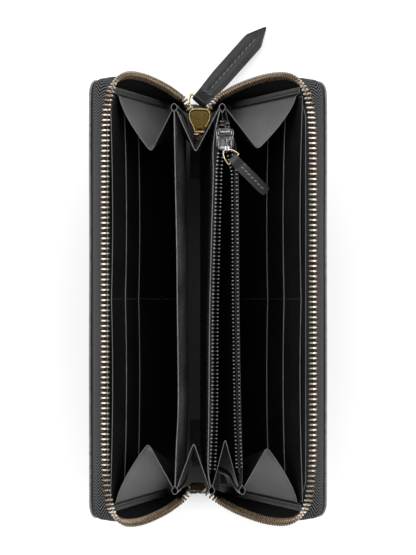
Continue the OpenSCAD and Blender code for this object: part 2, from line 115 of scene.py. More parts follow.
def spline(points, n):
    """n points, evenly spaced by length, on the smooth curve through points."""
    p = np.asarray(points, float)
    p = np.vstack([2 * p[0] - p[1], p, 2 * p[-1] - p[-2]])
    return resample(np.vstack([curve(p, 40), p[-2]]), n)


def outline(points, n=72):
    """n points, evenly spaced by length, on the closed smooth curve through points."""
    p = np.asarray(points, float)
    q = curve(np.vstack([p[-1], p, p[:2]]), 24)
    return resample(np.vstack([q, q[:1]]), n + 1)[:-1]


def curve_at(points, y, n):
    """The value at y on the smooth curve through points (y, value)."""
    line = spline(points, n)
    return np.interp(y, line[:, 0], line[:, 1])


def lengths(path):
    """Running length along a polyline."""
    return np.concatenate([[0], np.cumsum(np.linalg.norm(np.diff(path, axis=0), axis=1))])


def at_length(path, s):
    """Points of a polyline at running lengths s."""
    at = lengths(path)
    return np.stack([np.interp(s, at, path[:, k]) for k in range(path.shape[1])], axis=-1)


def resample(path, n):
    """n points evenly spaced by length on a polyline."""
    return at_length(path, np.linspace(0, lengths(path)[-1], n))


def on_cover(side, x, y, z):
    """A cover's own frame (x inwards, y along the spine, z from hinge to mouth) put in the row frame."""
    c, s = math.cos(TILT[side]), math.sin(TILT[side])
    return xyz(side * (HINGE_X - x * c + z * s), y, HINGE_Z + x * s + z * c)


def inward_of(side):
    """The direction that a cover's inside faces."""
    return unit(on_cover(side, 1, 0, 0) - on_cover(side, 0, 0, 0))


def frames_of(axis, along):
    """Frames for scatter: x on axis, y along the row."""
    return np.stack([axis, along, np.cross(axis, along)], axis=1)


# ---- Surfaces ----

def grid_faces(nu, nv, close_u=False, close_v=False):
    """Quads of an nu by nv grid of points numbered row by row."""
    i = np.arange(nu if close_u else nu - 1)[:, None]
    j = np.arange(nv if close_v else nv - 1)[None, :]
    a, b = (i % nu), ((i + 1) % nu)
    c, d = (j % nv), ((j + 1) % nv)
    return np.stack([a * nv + c, a * nv + d, b * nv + d, b * nv + c], axis=-1).reshape(-1, 4)


def loft(rings, paint=0):
    """A closed skin through rings[n, m, 3]: quads between rings, and a flat cap at each end."""
    n, m = rings.shape[:2]
    caps = [np.arange(m)[None, ::-1], (np.arange(m) + (n - 1) * m)[None, :]]
    u = lengths(rings.mean(1))
    uv = np.stack(np.broadcast_arrays(u[:, None], np.linspace(0, 1, m)), -1)
    return rings.reshape(-1, 3), [grid_faces(n, m, close_v=True)] + caps, uv.reshape(-1, 2), [paint] * 3


def tube(path, radius, sides, up=(0, 0, 1), closed=False):
    """A round wire: a circle of the given radius carried along path, square to its run."""
    p = np.asarray(path, float)
    t = unit((np.roll(p, -1, 0) - np.roll(p, 1, 0)) if closed else np.gradient(p, axis=0))
    a = unit(np.cross(t, np.asarray(up, float)))
    b = np.cross(a, t)
    w = np.linspace(0, 2 * np.pi, sides, endpoint=False)
    r = np.broadcast_to(np.asarray(radius, float), len(p))[:, None, None]
    rings = p[:, None] + r * (np.cos(w)[:, None] * a[:, None] + np.sin(w)[:, None] * b[:, None])
    if not closed:
        return loft(rings)
    uv = np.stack(np.broadcast_arrays(np.linspace(0, 1, len(p))[:, None], np.linspace(0, 1, sides)), -1)
    return rings.reshape(-1, 3), [grid_faces(len(p), sides, True, True)], uv.reshape(-1, 2), [0]


def shell(mid, t, steps, cut=(), paint=(0, 0, 1)):
    """A sheet of thickness t about the grid mid[nu, nv, 3]: both faces are offset along the normal, and
    half circles of t / 2 join them round the rim. cut names rim sides that end square: u0 u1 v0 v1."""
    nu, nv = mid.shape[:2]
    n = unit(np.cross(np.gradient(mid, axis=0), np.gradient(mid, axis=1)))
    t = np.broadcast_to(np.asarray(t, float), (nu, nv))[..., None]
    top, low = mid + n * t / 2, mid - n * t / 2
    ids = np.arange(nu * nv).reshape(nu, nv)
    loop = np.concatenate([ids[0, :-1], ids[:-1, -1], ids[-1, :0:-1], ids[:0:-1, 0]])
    side = np.concatenate([np.full(nv - 1, 0), np.full(nu - 1, 3), np.full(nv - 1, 1), np.full(nu - 1, 2)])
    q, nq, tq = mid.reshape(-1, 3)[loop], n.reshape(-1, 3)[loop], t.reshape(-1, 1)[loop]
    out = unit(np.cross(nq, np.roll(q, -1, 0) - np.roll(q, 1, 0)))
    if np.sum(out * (q - mid[1:-1, 1:-1].reshape(-1, 3).mean(0))) < 0:
        out = -out
    keep = np.ones(len(loop))
    for c in cut:
        square = side == ("u0", "u1", "v0", "v1").index(c)
        keep[square] = 0
        keep[np.roll(square, 1)] = 0
    w = np.linspace(0, np.pi, steps + 1)[1:-1]
    rim = q + tq / 2 * (np.cos(w)[:, None, None] * nq + np.sin(w)[:, None, None] * out * keep[:, None])
    points = np.concatenate([top.reshape(-1, 3), low.reshape(-1, 3), rim.reshape(-1, 3)])
    k, base = len(loop), 2 * nu * nv
    rows = base + np.arange((steps - 1) * k).reshape(steps - 1, k)
    rows = np.concatenate([loop[None], rows, loop[None] + nu * nv])
    after = np.roll(rows, -1, 1)
    ring = np.stack([rows[:-1], after[:-1], after[1:], rows[1:]], -1).reshape(-1, 4)
    faces = grid_faces(nu, nv)
    u, v = (np.linalg.norm(np.diff(mid, axis=k), axis=2).mean(1 - k) for k in (0, 1))
    u, v = (np.concatenate([[0], np.cumsum(steps_on)]) for steps_on in (u, v))
    uv = np.stack(np.broadcast_arrays(u[:, None], v), -1).reshape(-1, 2)
    uv = np.concatenate([uv, uv, np.tile(uv[loop], (steps - 1, 1))])
    return points, [faces[:, ::-1], faces + nu * nv, ring], uv, list(paint)


def scatter(shape, origins, frames):
    """Copies of one small shape: each point x y z goes to origin + x a + y b + z c of its own frame."""
    points, faces, uv, paint = shape
    n, m = len(origins), len(points)
    out = origins[:, None] + np.einsum("pk,nkd->npd", points, frames)
    step = (np.arange(n) * m)[:, None, None]
    faces = [(f[None] + step).reshape(-1, f.shape[1]) for f in faces]
    return out.reshape(-1, 3), faces, np.tile(uv, (n, 1)), paint


def signed_volume(points, faces):
    """Six times the volume inside the faces, negative when they point inwards."""
    total = 0.0
    for f in faces:
        a = points[f[:, 0]]
        for k in range(1, f.shape[1] - 1):
            total += np.sum(a * np.cross(points[f[:, k]], points[f[:, k + 1]]))
    return total


def placed(shape, origin, azimuth=0.0, droop=0.0):
    """A shape drawn along +X: drooped below the level, turned by azimuth about Z and moved to origin."""
    p, *rest = shape
    c, s = math.cos(droop), math.sin(droop)
    x, y, z = p[:, 0] * c + p[:, 2] * s, p[:, 1], p[:, 2] * c - p[:, 0] * s
    c, s = math.cos(azimuth), math.sin(azimuth)
    return (xyz(x * c - y * s, x * s + y * c, z) + origin, *rest)


def piece(name, shapes, materials, sharp=50):
    """One object from closed shapes, each turned to face outwards, in metres at the origin."""
    points, faces, uvs, paints, count = [], [], [], [], 0
    for p, fs, uv, paint in shapes:
        p = np.asarray(p, float)
        flip = signed_volume(p - p.mean(0), fs) < 0
        points.append(p)
        uvs.append(uv)
        for f, c in zip(fs, paint):
            faces.append((f[:, ::-1] if flip else f) + count)
            paints.append(np.full(len(f), c))
        count += len(p)
    points = np.concatenate(points) * MM
    loops = np.concatenate([f.ravel() for f in faces])
    sizes = np.concatenate([np.full(len(f), f.shape[1]) for f in faces])
    mesh = bpy.data.meshes.new(name)
    mesh.vertices.add(len(points))
    mesh.loops.add(len(loops))
    mesh.polygons.add(len(sizes))
    mesh.vertices.foreach_set("co", points.astype(np.float32).ravel())
    mesh.loops.foreach_set("vertex_index", loops.astype(np.int32))
    mesh.polygons.foreach_set("loop_start", np.concatenate([[0], np.cumsum(sizes)[:-1]]).astype(np.int32))
    mesh.polygons.foreach_set("loop_total", sizes.astype(np.int32))
    mesh.polygons.foreach_set("material_index", np.concatenate(paints).astype(np.int32))
    mesh.update(calc_edges=True)
    layer = mesh.uv_layers.new(name="UVMap")
    layer.data.foreach_set("uv", np.concatenate(uvs)[loops].astype(np.float32).ravel())
    mesh.polygons.foreach_set("use_smooth", np.ones(len(sizes), bool))
    mesh.set_sharp_from_angle(angle=math.radians(sharp))
    for m in materials:
        mesh.materials.append(m)
    mesh.validate()
    obj = bpy.data.objects.new(name, mesh)
    bpy.context.scene.collection.objects.link(obj)
    return obj


# ---- Materials ----

class Value:
    """A node's output. Sums, differences, products and quotients of it add Math nodes."""

    def __init__(self, paint, socket):
        self.paint, self.socket = paint, socket

    def math(self, operation, other, swap=False):
        first, second = (other, self) if swap else (self, other)
        return self.paint.node("ShaderNodeMath", {"operation": operation}, first, second)

    def __add__(self, other): return self.math("ADD", other)
    def __radd__(self, other): return self.math("ADD", other, True)
    def __sub__(self, other): return self.math("SUBTRACT", other)
    def __rsub__(self, other): return self.math("SUBTRACT", other, True)
    def __mul__(self, other): return self.math("MULTIPLY", other)
    def __rmul__(self, other): return self.math("MULTIPLY", other, True)
    def __truediv__(self, other): return self.math("DIVIDE", other)


class Paint:
    """A material made of nodes round one Principled shader."""

    def __init__(self, name, **constants):
        self.material = bpy.data.materials.new(name)
        self.material.use_nodes = True
        self.nodes = self.material.node_tree.nodes
        self.links = self.material.node_tree.links
        self.shader = self.nodes["Principled BSDF"]
        for key, value in constants.items():
            self.shader.inputs[key.replace("_", " ")].default_value = value
        coords = self.nodes.new("ShaderNodeTexCoord")
        self.place = Value(self, coords.outputs["Object"])
        self.uv = Value(self, coords.outputs["UV"])

    def node(self, kind, settings, *inputs, **named):
        """Adds a node of a type, sets its settings, then its sockets by place or by name."""
        n = self.nodes.new(kind)
        for key, value in settings.items():
            setattr(n, key, value)
        pairs = list(enumerate(inputs)) + [(k.replace("_", " "), v) for k, v in named.items()]
        for key, value in pairs:
            if value is None:
                continue
            if isinstance(value, Value):
                self.links.new(value.socket, n.inputs[key])
            else:
                n.inputs[key].default_value = value
        return Value(self, n.outputs[0])

    def noise(self, scale, detail=3.0, rough=0.5, at=None):
        sockets = {"Vector": at or self.place, "Scale": scale, "Detail": detail, "Roughness": rough}
        return self.node("ShaderNodeTexNoise", {}, **sockets)

    def split(self, vector):
        n = self.nodes.new("ShaderNodeSeparateXYZ")
        self.links.new(vector.socket, n.inputs[0])
        return [Value(self, o) for o in n.outputs]

    def remap(self, value, low, high, to_low=0.0, to_high=1.0):
        return self.node("ShaderNodeMapRange", {}, value, low, high, to_low, to_high)

    def mix(self, factor, a, b):
        n = self.nodes.new("ShaderNodeMix")
        n.data_type = "RGBA"
        for key, value in ((0, factor), (6, a), (7, b)):
            if isinstance(value, Value):
                self.links.new(value.socket, n.inputs[key])
            else:
                n.inputs[key].default_value = value if key == 0 else (*value, 1)
        return Value(self, n.outputs[2])

    def feed(self, name, value):
        self.links.new(value.socket, self.shader.inputs[name])

    def surface(self, colour, roughness, height, strength, distance):
        """Feeds the shader its colour, its roughness and a bump, and gives the material."""
        bump = self.node("ShaderNodeBump", {}, Strength=strength, Distance=distance, Height=height)
        for name, value in (("Base Color", colour), ("Roughness", roughness), ("Normal", bump)):
            self.feed(name, value)
        return self.material


def leather(name, dark, light, rough, grain, coat=0.0, wear=0.25, shade_reach=None, gloss=0.5):
    """Grained leather: pebbled cells with fine pores between them, and slow patches of wear. Given a reach
    for its painted shade, the colour deepens towards the sewn side of the sheet, over that many millimetres
    of its own length."""
    p = Paint(name, Specular_IOR_Level=gloss, Coat_Weight=coat, Coat_Roughness=0.25)
    pebbles = p.node("ShaderNodeTexVoronoi", {"feature": "SMOOTH_F1"}, Vector=p.place, Scale=grain)
    pores = p.noise(grain * 2.6, 4.0, 0.6)
    patches = p.noise(55.0, 4.0, 0.6)
    height = pebbles * 0.75 + pores * 0.35
    shade = p.remap(patches + pores * wear, 0.42, 0.86)
    colour = p.mix(shade, dark, light)
    # Painted shade: the colour darkens towards the sheet's sewn side, where the gusset turns into its shaded
    # creases.
    if shade_reach:
        across = p.split(p.uv)[1]
        colour = p.mix(p.remap(across + patches * 4.0, 4.0, shade_reach), tuple(0.3 * c for c in dark), colour)
    roughness = p.remap(patches * 0.6 + pebbles * 0.5, 0.25, 0.8, rough - 0.07, rough + 0.12)
    return p.surface(colour, roughness, height, 0.32, 0.00016)


def edge_highlight(name, colour, rough):
    """Burnished and painted leather edge, lighter than its leather as a painted highlight where the round
    edge catches light: smooth, with faint runs along it.
    """
    p = Paint(name, Specular_IOR_Level=0.6, Coat_Weight=0.35, Coat_Roughness=0.2)
    runs = p.noise(420.0, 3.0, 0.6)
    lighter = tuple(min(1.0, c * 1.55 + 0.01) for c in colour)
    roughness = p.remap(runs, 0.3, 0.7, rough - 0.08, rough + 0.1)
    return p.surface(p.mix(p.remap(runs, 0.3, 0.7), colour, lighter), roughness, runs, 0.25, 0.00008)


def woven(name, dark, light, pitch_u, pitch_v, rough=0.75):
    """Plain weave on the piece's own lengths: over and under threads as a product of two sines."""
    p = Paint(name, Sheen_Weight=0.25, Sheen_Roughness=0.4, Specular_IOR_Level=0.3)
    u, v, _ = p.split(p.uv)
    weave = (u * (FULL_TURN / pitch_u)).math("SINE", None) * (v * (FULL_TURN / pitch_v)).math("SINE", None)
    fuzz = p.noise(1500.0, 3.0, 0.7)
    height = weave * 0.5 + fuzz * 0.6
    roughness = p.remap(fuzz, 0.3, 0.7, rough - 0.08, rough + 0.1)
    return p.surface(p.mix(p.remap(height, -0.2, 0.8), dark, light), roughness, height, 0.5, 0.00012)


def herringbone(name, dark, light):
    """Zip tape: slanted ribs that turn back at each column, so the ribs form chevrons along the tape."""
    p = Paint(name, Specular_IOR_Level=0.05)
    u, v, _ = p.split(p.uv)
    phase = u / RIB + (v / COLUMN).math("PINGPONG", 1.0) * RIB_SLANT
    ribs = (phase * FULL_TURN).math("SINE", None)
    fuzz = p.noise(1300.0, 3.0, 0.7)
    height = ribs * 0.5 + fuzz * 0.5
    roughness = p.remap(fuzz, 0.3, 0.7, 0.62, 0.82)
    return p.surface(p.mix(p.remap(height, 0.12, 0.4), dark, light), roughness, height, 0.6, 0.0002)


def metal(name, dark, light, rough, patina, contrast=(0.35, 0.7)):
    """Plated metal: mottled patina that is darker and rougher in its spots, with hairline scratches."""
    p = Paint(name, Metallic=1.0)
    spots = p.noise(patina, 5.0, 0.7)
    drawn_out = p.node("ShaderNodeMapping", {}, Vector=p.place, Scale=(700.0, 5200.0, 700.0))
    lines = p.noise(1.0, 3.0, 0.6, at=drawn_out)
    roughness = p.remap(spots * 0.7 + lines * 0.3, 0.3, 0.7, rough + 0.14, rough - 0.06)
    colour = p.mix(p.remap(spots, *contrast), dark, light)
    return p.surface(colour, roughness, spots * 0.6 + lines * 0.4, 0.2, 0.00006)


def tooth_metal(name, root, tip, rough, spread=(0.15, 0.9), both=False, end_shade=None):
    """A tooth's plating: its root's colour gives way to a paler tip colour along the tooth, or at both ends;
    the pale tips are painted highlight, and on the black teeth also worn edges. Given a shade colour, the
    teeth round the two short ends are darker by it, as painted shade where they catch less light."""
    p = Paint(name, Metallic=1.0)
    u, _, _ = p.split(p.uv)
    if both:
        u = (u - 0.5).math("ABSOLUTE", None) * 2.0
    spots = p.noise(1500.0, 4.0, 0.65)
    # Pale tip colour: painted highlight where the tips catch light, and wear on the black teeth.
    wear_and_highlight = p.remap(u + spots * 0.25, spread[0], spread[1] + 0.12)
    colour = p.mix(wear_and_highlight, root, tip)
    # Painted shade: teeth round the two short ends are darkened, as they catch less of the lamps' light.
    if end_shade:
        y = p.split(p.place)[1].math("ABSOLUTE", None)
        colour = p.mix(p.remap(y, 0.093, 0.0975, 0.0, 0.85), colour, end_shade)
    roughness = p.remap(spots, 0.3, 0.7, rough - 0.06, rough + 0.12)
    return p.surface(colour, roughness, spots, 0.15, 0.00005)


def board(name):
    """Grey fibre board, speckled."""
    p = Paint(name, Specular_IOR_Level=0.2)
    fibres = p.noise(900.0, 5.0, 0.7)
    roughness = p.remap(fibres, 0.3, 0.7, 0.8, 0.95)
    return p.surface(p.mix(fibres, (0.2, 0.18, 0.16), (0.42, 0.4, 0.36)), roughness, fibres, 0.3, 0.0001)


def grey(value, blue=None):
    """A grey, with a blue of its own if one is given."""
    return value, value, blue or value


OUTER = leather("outer_leather", grey(0.008, 0.009), grey(0.02, 0.021), 0.36, 1900, coat=0.08, gloss=0.4)
# Darker than the outer leather: painted shade for the inside of the wallet.
INNER = leather("inner_leather", grey(0.0025), grey(0.006, 0.0065), 0.55, 2300, gloss=0.2)
LEAF = leather("leaf_leather", grey(0.008, 0.009), grey(0.022, 0.023), 0.45, 2000)
# A lighter copy of the leaf leather: painted light for the divider's sloped face, which catches the lamps.
DIVIDER = leather("divider_leather", grey(0.03, 0.031), grey(0.12, 0.123), 0.42, 1500)
# Its colour darkens towards its sewn side as painted shade.
GUSSET = leather("gusset_leather", grey(0.007, 0.0075), grey(0.062, 0.064), 0.4, 2600, coat=0.1, shade_reach=17.0)
PULL = leather("pull_leather", grey(0.003, 0.0032), grey(0.024, 0.025), 0.3, 1500, coat=0.08, wear=0.5,
               gloss=0.3)
TAB = leather("tab_leather", grey(0.002), grey(0.06, 0.062), 0.28, 800, coat=0.08, wear=1.0, gloss=0.35)
# The edges' light grey is painted highlight: the round rims of the black leather catch the light.
OUTER_EDGE = edge_highlight("outer_edge_highlight", grey(0.13, 0.133), 0.28)
FOLD_EDGE = edge_highlight("folded_edge", grey(0.13, 0.135), 0.36)
CARD_EDGE = edge_highlight("card_edge", grey(0.11, 0.115), 0.38)
LINING = woven("lining_fabric", grey(0.004), grey(0.02, 0.021), 0.7, 0.7)
SPINE_CLOTH = woven("spine_fabric", grey(0.03), grey(0.2, 0.205), 0.9, 0.9)
TAPE = herringbone("tape_herringbone", grey(0.001), (0.112, 0.116, 0.12))
# A darker copy of the tape for its inner face: painted shade.
TAPE_INSIDE = herringbone("tape_inside", grey(0.002), grey(0.022, 0.023))
COIN_TAPE = woven("coin_tape_fabric", grey(0.003), grey(0.014, 0.015), 0.6, 0.6)
THREAD = woven("thread", grey(0.16, 0.165), grey(0.42, 0.43), 0.3, 0.5, 0.5)
PULL_THREAD = woven("pull_thread", grey(0.06, 0.062), grey(0.2, 0.205), 0.3, 0.5, 0.5)
SEAM_THREAD = woven("seam_thread", grey(0.02, 0.021), grey(0.07, 0.072), 0.3, 0.5, 0.6)
DARK_THREAD = woven("dark_thread", grey(0.003), grey(0.015, 0.016), 0.3, 0.5, 0.6)
# The darker colour on the short ends is painted shade.
# The pale tips are painted highlight.
TOOTH = tooth_metal("tooth_brass", (0.2, 0.105, 0.045), (0.68, 0.6, 0.51), 0.22, (0.15, 0.6),
                    end_shade=(0.2, 0.14, 0.085))
BRASS = metal("antique_brass", (0.03, 0.02, 0.006), (0.24, 0.16, 0.05), 0.42, 1400, contrast=(0.3, 0.75))
DARK_BRASS = metal("dark_brass", (0.012, 0.009, 0.004), (0.09, 0.06, 0.025), 0.45, 1400)
SILVER = metal("bright_nickel", grey(0.5), grey(0.85), 0.16, 400)
BRIGHT_BRASS = metal("bright_brass", (0.3, 0.2, 0.07), (0.6, 0.44, 0.18), 0.24, 500)
GOLD = metal("pale_gold", (0.75, 0.58, 0.32), (0.92, 0.78, 0.52), 0.14, 300)
BLACK_METAL = metal("black_metal", grey(0.04, 0.042), grey(0.38, 0.39), 0.14, 500)
# Its pale tooth ends are worn edges and painted highlight.
BLACK_TOOTH = tooth_metal("black_tooth", grey(0.02, 0.021), grey(0.7, 0.72), 0.3, (0.5, 0.95), both=True)
BOARD = board("fibre_board")

for node in ("cover_board_left", "cover_board_right", "spine_board"):
    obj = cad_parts[node]
    for k in range(len(obj.material_slots)):
        obj.material_slots[k].material = BOARD


# ---- Camera, light and floor ----

VIEW_HIGH = 555       # the picture's height, in the unit of VIEW_SCALE
VIEW_SCALE = 1630     # lens to picture plane, in the same unit
SENSOR = 36.0
FLOOR = 6.0           # half the floor's width, in metres
camera = bpy.data.objects.new("camera", bpy.data.cameras.new("camera"))
bpy.context.scene.collection.objects.link(camera)
camera.location = (5 * MM, 0, 810 * MM)
camera.data.sensor_width = SENSOR
camera.data.lens = SENSOR * VIEW_SCALE / VIEW_HIGH
camera.data.shift_y = 21.5 / VIEW_HIGH
camera.data.clip_start, camera.data.clip_end = 0.01, 20
bpy.context.scene.camera = camera


def area_light(name, at, size, power):
    """A soft square box at a point, turned to face the wallet."""
    data = bpy.data.lights.new(name, "AREA")
    data.size, data.energy = size, power
    obj = bpy.data.objects.new(name, data)
    bpy.context.scene.collection.objects.link(obj)
    back = unit(np.array(at) - [0, 0, 0.05])
    right = unit(np.cross((0, 1, 0.01), back))
    matrix = np.eye(4)
    matrix[:3] = np.stack([right, np.cross(back, right), back, at], axis=1)
    obj.matrix_world = Matrix(matrix.tolist())


area_light("left_box", (-1.5, 0.2, 0.9), 1.4, 16)
area_light("right_box", (1.5, 0.2, 0.9), 1.4, 16)
area_light("over_box", (0.0, 0.9, 1.7), 1.2, 10)
world = bpy.data.worlds.new("studio")
bpy.context.scene.world = world
world.use_nodes = True
background = world.node_tree.nodes["Background"]
background.inputs["Color"].default_value = (1, 1, 1, 1)
background.inputs["Strength"].default_value = 0.5

floor_paint = Paint("floor", Roughness=0.9, Specular_IOR_Level=0.1, Emission_Strength=1.0)
# The lights fall off with distance, so the floor glows more there and stays even.
floor_x, floor_y, _ = floor_paint.split(floor_paint.place)
far = floor_paint.remap(floor_x * floor_x + floor_y * floor_y, 0.3, 1.6)
floor_paint.feed("Emission Color", floor_paint.mix(far, grey(0.3), grey(0.8)))
floor_paint.feed("Base Color", floor_paint.mix(floor_paint.noise(3.0), grey(0.9), grey(0.93)))
floor_mesh = bpy.data.meshes.new("floor")
square = ((-1, -1), (1, -1), (1, 1), (-1, 1))
floor_mesh.from_pydata([(FLOOR * x, FLOOR * y, -0.0002) for x, y in square], [], [(0, 1, 2, 3)])
floor_mesh.materials.append(floor_paint.material)
floor = bpy.data.objects.new("floor", floor_mesh)
bpy.context.scene.collection.objects.link(floor)
bpy.context.scene.view_settings.view_transform = "Standard"


# ---- Stitches ----

def stitch_shape(length, radius):
    """One stitch: a short thread, thick in its middle and dipping at both ends. x runs along it, z out."""
    x = np.linspace(-0.5, 0.5, 6)
    path = np.stack([x * length, 0 * x, radius * (0.9 - 3.2 * x**2)], -1)
    return tube(path, radius * (1 - 2.2 * x**2), 6, up=(0, 1, 0))


def stitch_row(path, normal, pitch, length, radius, slant=0.0):
    """Stitches spaced by pitch along path, lying on a surface that faces normal, each turned by slant."""
    total = lengths(path)[-1]
    s = (np.arange(int(total / pitch)) + 0.5) * pitch
    origins = at_length(path, s)
    along = unit(at_length(path, s + 0.2) - at_length(path, s - 0.2))
    nrm = np.broadcast_to(np.asarray(normal, float), origins.shape)
    nrm = unit(nrm - along * np.sum(nrm * along, -1, keepdims=True))
    across = np.cross(nrm, along)
    a = unit(along * math.cos(slant) + across * math.sin(slant))
    frames = np.stack([a, np.cross(nrm, a), nrm], axis=1)
    return scatter(stitch_shape(length, radius), origins, frames)


# ---- Covers ----

def corner_half(d, half, r):
    """Half the width of a panel at a distance d below its top edge, whose corners have radius r."""
    d = np.clip(d, 0, r)
    return half - r + np.sqrt(np.maximum(r * r - (r - d) ** 2, 0))


def panel_rows(foot, top, r, n_flat):
    """Heights of a panel's rows: even below, then closing up over the corner's radius."""
    flat = np.linspace(foot, top - r, n_flat)
    turn = top - r + r * np.sin(np.linspace(0, np.pi / 2, 9)[1:])
    return np.concatenate([flat, turn])


CARD_HALF, CARD_FOOT, CARD_TOP = 90.8, 6.2, 87.8
CARD_SEAMS = [((2.0, 2.0), (8.0, 55.0)), ((1.6, 1.55), (57.0, 70.2)), ((1.25, 1.2), (72.0, 85.0))]      # x, z
EDGE_SEAM_IN = 2.6

for side in (-1, 1):
    name = SIDE[side]
    cover = "cover_" + name
    inward = inward_of(side)

    # Outer leather: flat under the spine, round the hinge line on a radius of 1.6, then up the cover.
    top, half_width = DEPTH - 0.6, HALF - 0.6
    z = panel_rows(0, top, CORNER, 40)
    turn = np.linspace(-np.pi / 2, -TILT[side], 12)
    xs = np.concatenate([np.linspace(0, HINGE_X, 14)[:-1], HINGE_X + 1.6 * np.cos(turn)]) * side
    zs = np.concatenate([np.full(13, 0.6), HINGE_Z + 1.6 * np.sin(turn)])
    up = on_cover(side, -1.6, 0, z[1:])
    px, pz = np.concatenate([xs, up[:, 0]])[:, None], np.concatenate([zs, up[:, 2]])[:, None]
    half = np.concatenate([np.full(len(xs), half_width), corner_half(top - z[1:], half_width, CORNER)])
    yy = half[:, None] * np.linspace(-1, 1, 70)
    ripple = 0.12 * np.sin(yy / 17 + pz / 29) * smooth(pz, 20, 60)
    mid = xyz(px, yy, pz) - ripple[..., None] * inward * 0.6
    sheet = shell(mid, LEATHER_T, 6, cut=("u0",))
    outer = piece("outer_leather_" + name, [sheet], [OUTER, OUTER_EDGE])
    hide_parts("cover_leather_" + name, "spine_leather")
    side * 9 * MM
    side * 11.5 * MM
    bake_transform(outer)

    # The seam that holds the zip: one row of stitches round the cover's outside.
    corner = np.linspace(0, np.pi / 2, 12)
    r = CORNER - EDGE_SEAM_IN
    seam_y = np.concatenate([[HALF - EDGE_SEAM_IN], HALF - CORNER + r * np.cos(corner)])
    seam_z = np.concatenate([[9.0], DEPTH - CORNER + r * np.sin(corner)])
    seam_y, seam_z = np.concatenate([seam_y, -seam_y[::-1]]), np.concatenate([seam_z, seam_z[::-1]])
    row = stitch_row(on_cover(side, -2.27, seam_y, seam_z), -inward, *EDGE_STITCH)
    stitches = piece("edge_stitches_" + name, [row], [SEAM_THREAD])
    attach(stitches, cover)

    # Lining, bill pocket front and three card tiers.
    z = panel_rows(1.0, DEPTH - 1.2, CORNER - 1, 16)[:, None]
    y = corner_half(DEPTH - 1.2 - z, HALF - 1.2, CORNER - 1) * np.linspace(-1, 1, 60)
    sheet = shell(on_cover(side, -0.2, y, z), LINING_T, 2)
    lining = piece("lining_" + name, [sheet], [LINING, LINING])
    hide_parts("cover_lining_" + name)
    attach(lining, cover)
    y = np.linspace(-1, 1, 81) * CARD_HALF
    column = 1 - (2 * np.abs(y) / CARD_HALF - 1) ** 2
    z = np.linspace(CARD_FOOT, CARD_TOP, 24)[:, None]
    narrow = corner_half(CARD_TOP - z, CARD_HALF, 9.0) / CARD_HALF
    sheet = shell(on_cover(side, 0.575, y * narrow, z), CARD_BACK_T, 4)
    back = piece("card_back_" + name, [sheet], [INNER, CARD_EDGE])
    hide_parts("card_backing_" + name)
    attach(back, cover)
    for n in (1, 2, 3):
        top = DEPTH - 16.2 - (n - 1) * 15
        foot = max(CARD_FOOT, top - 50)
        at_edge = top - np.array([2.8, 1.8, 1.0, 0.4, 0.0])
        z = np.concatenate([np.linspace(foot, top - 4, 18), at_edge])[:, None]
        near_top = smooth(z, top - 22, top)
        x = 0.975 + (n - 1) * 0.35 + 0.55 * column * near_top
        middle_low = 1.5 * (1 - (np.abs(y) / CARD_HALF) ** 1.6)
        mid = on_cover(side, x, y, z - (0.4 * column + middle_low) * near_top)
        t = 0.34 + 0.16 * smooth(z, top - 3.0, top - 2.2) + 0 * y
        tier = piece("card_tier_%s_%d" % (name, n), [shell(mid, t, 5)], [INNER, CARD_EDGE])
        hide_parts("card_pocket_%s_%d" % (name, n))
        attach(tier, cover)
    lines = [on_cover(side, np.array(x), 0, np.array(z)) for x, z in CARD_SEAMS]
    rows = [stitch_row(line, inward, *CARD_STITCH) for line in lines]
    stitches = piece("card_stitches_" + name, rows, [SEAM_THREAD])
    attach(stitches, cover)


# ---- Main zip ----

ROW_START = 24.0      # the height on the cover where a row leaves it for the spine
RUN_STEPS = 60
FREE_AT = 0.36        # how far across the tape its sewn part ends
END_FLARE, SIDE_FLARE = 48, 10      # degrees that the teeth lean out, on the short ends and the long side
ZIP_X = 0.9           # the middle of the closed zip and its slider
CHAIN_START = 7.6     # along the tail
TOOTH_ROOT = 1.1      # the tape's edge, back from the row's middle
ROW_CURVE = [      # the front half of a row on its cover: Y, distance from the hinge line
    (98.9, 24.0), (100.2, 34.0), (101.2, 48.0), (101.6, 62.0), (101.0, 75.0), (99.5, 85.0), (96.8, 92.6),
    (92.4, 98.8), (86.4, 102.4), (78.0, 104.2), (66.0, 105.0), (50.0, 105.3), (30.0, 105.3), (10.0, 105.3)]
FRONT_RUN = {      # where a row leaves its cover, ends at the slider's shoulder: row frame, front end
    -1: [(-9.7, 98.2, 22.8), (-7.7, 97.2, 18.6), (-6.0, 95.5, 16.6),
         (-4.4, 93.1, 15.8), (-2.5, 90.0, 15.6)],
    1: [(11.8, 98.2, 22.8), (9.5, 97.0, 18.8), (7.4, 95.0, 16.6),
         (5.5, 92.6, 15.8), (3.8, 89.8, 15.6)],
}
BACK_RUN = {       # the same at the other end, down to the stop
    -1: [(-9.6, -98.2, 22.8), (-7.4, -97.0, 18.8), (-5.6, -95.2, 16.6),
         (-3.8, -93.0, 15.6), (-2.0, -90.6, 15.5)],
    1: [(12.0, -98.2, 22.8), (9.6, -97.2, 18.8), (6.8, -95.6, 16.6),
         (4.0, -93.6, 15.7), (1.4, -91.2, 15.5)],
}


def edge_path():
    """The cover's edge from foot to foot, evenly spaced: points y z, and outward directions."""
    a = np.linspace(0, np.pi / 2, 24)
    turn = np.stack([HALF - CORNER + CORNER * np.cos(a), DEPTH - CORNER + CORNER * np.sin(a)], -1)
    front = np.concatenate([[[HALF, ROW_START]], turn])
    path = resample(np.concatenate([front, front[::-1] * [-1, 1]]), 230)
    t = unit(np.gradient(path, axis=0))
    return path, np.stack([t[:, 1], -t[:, 0]], -1)


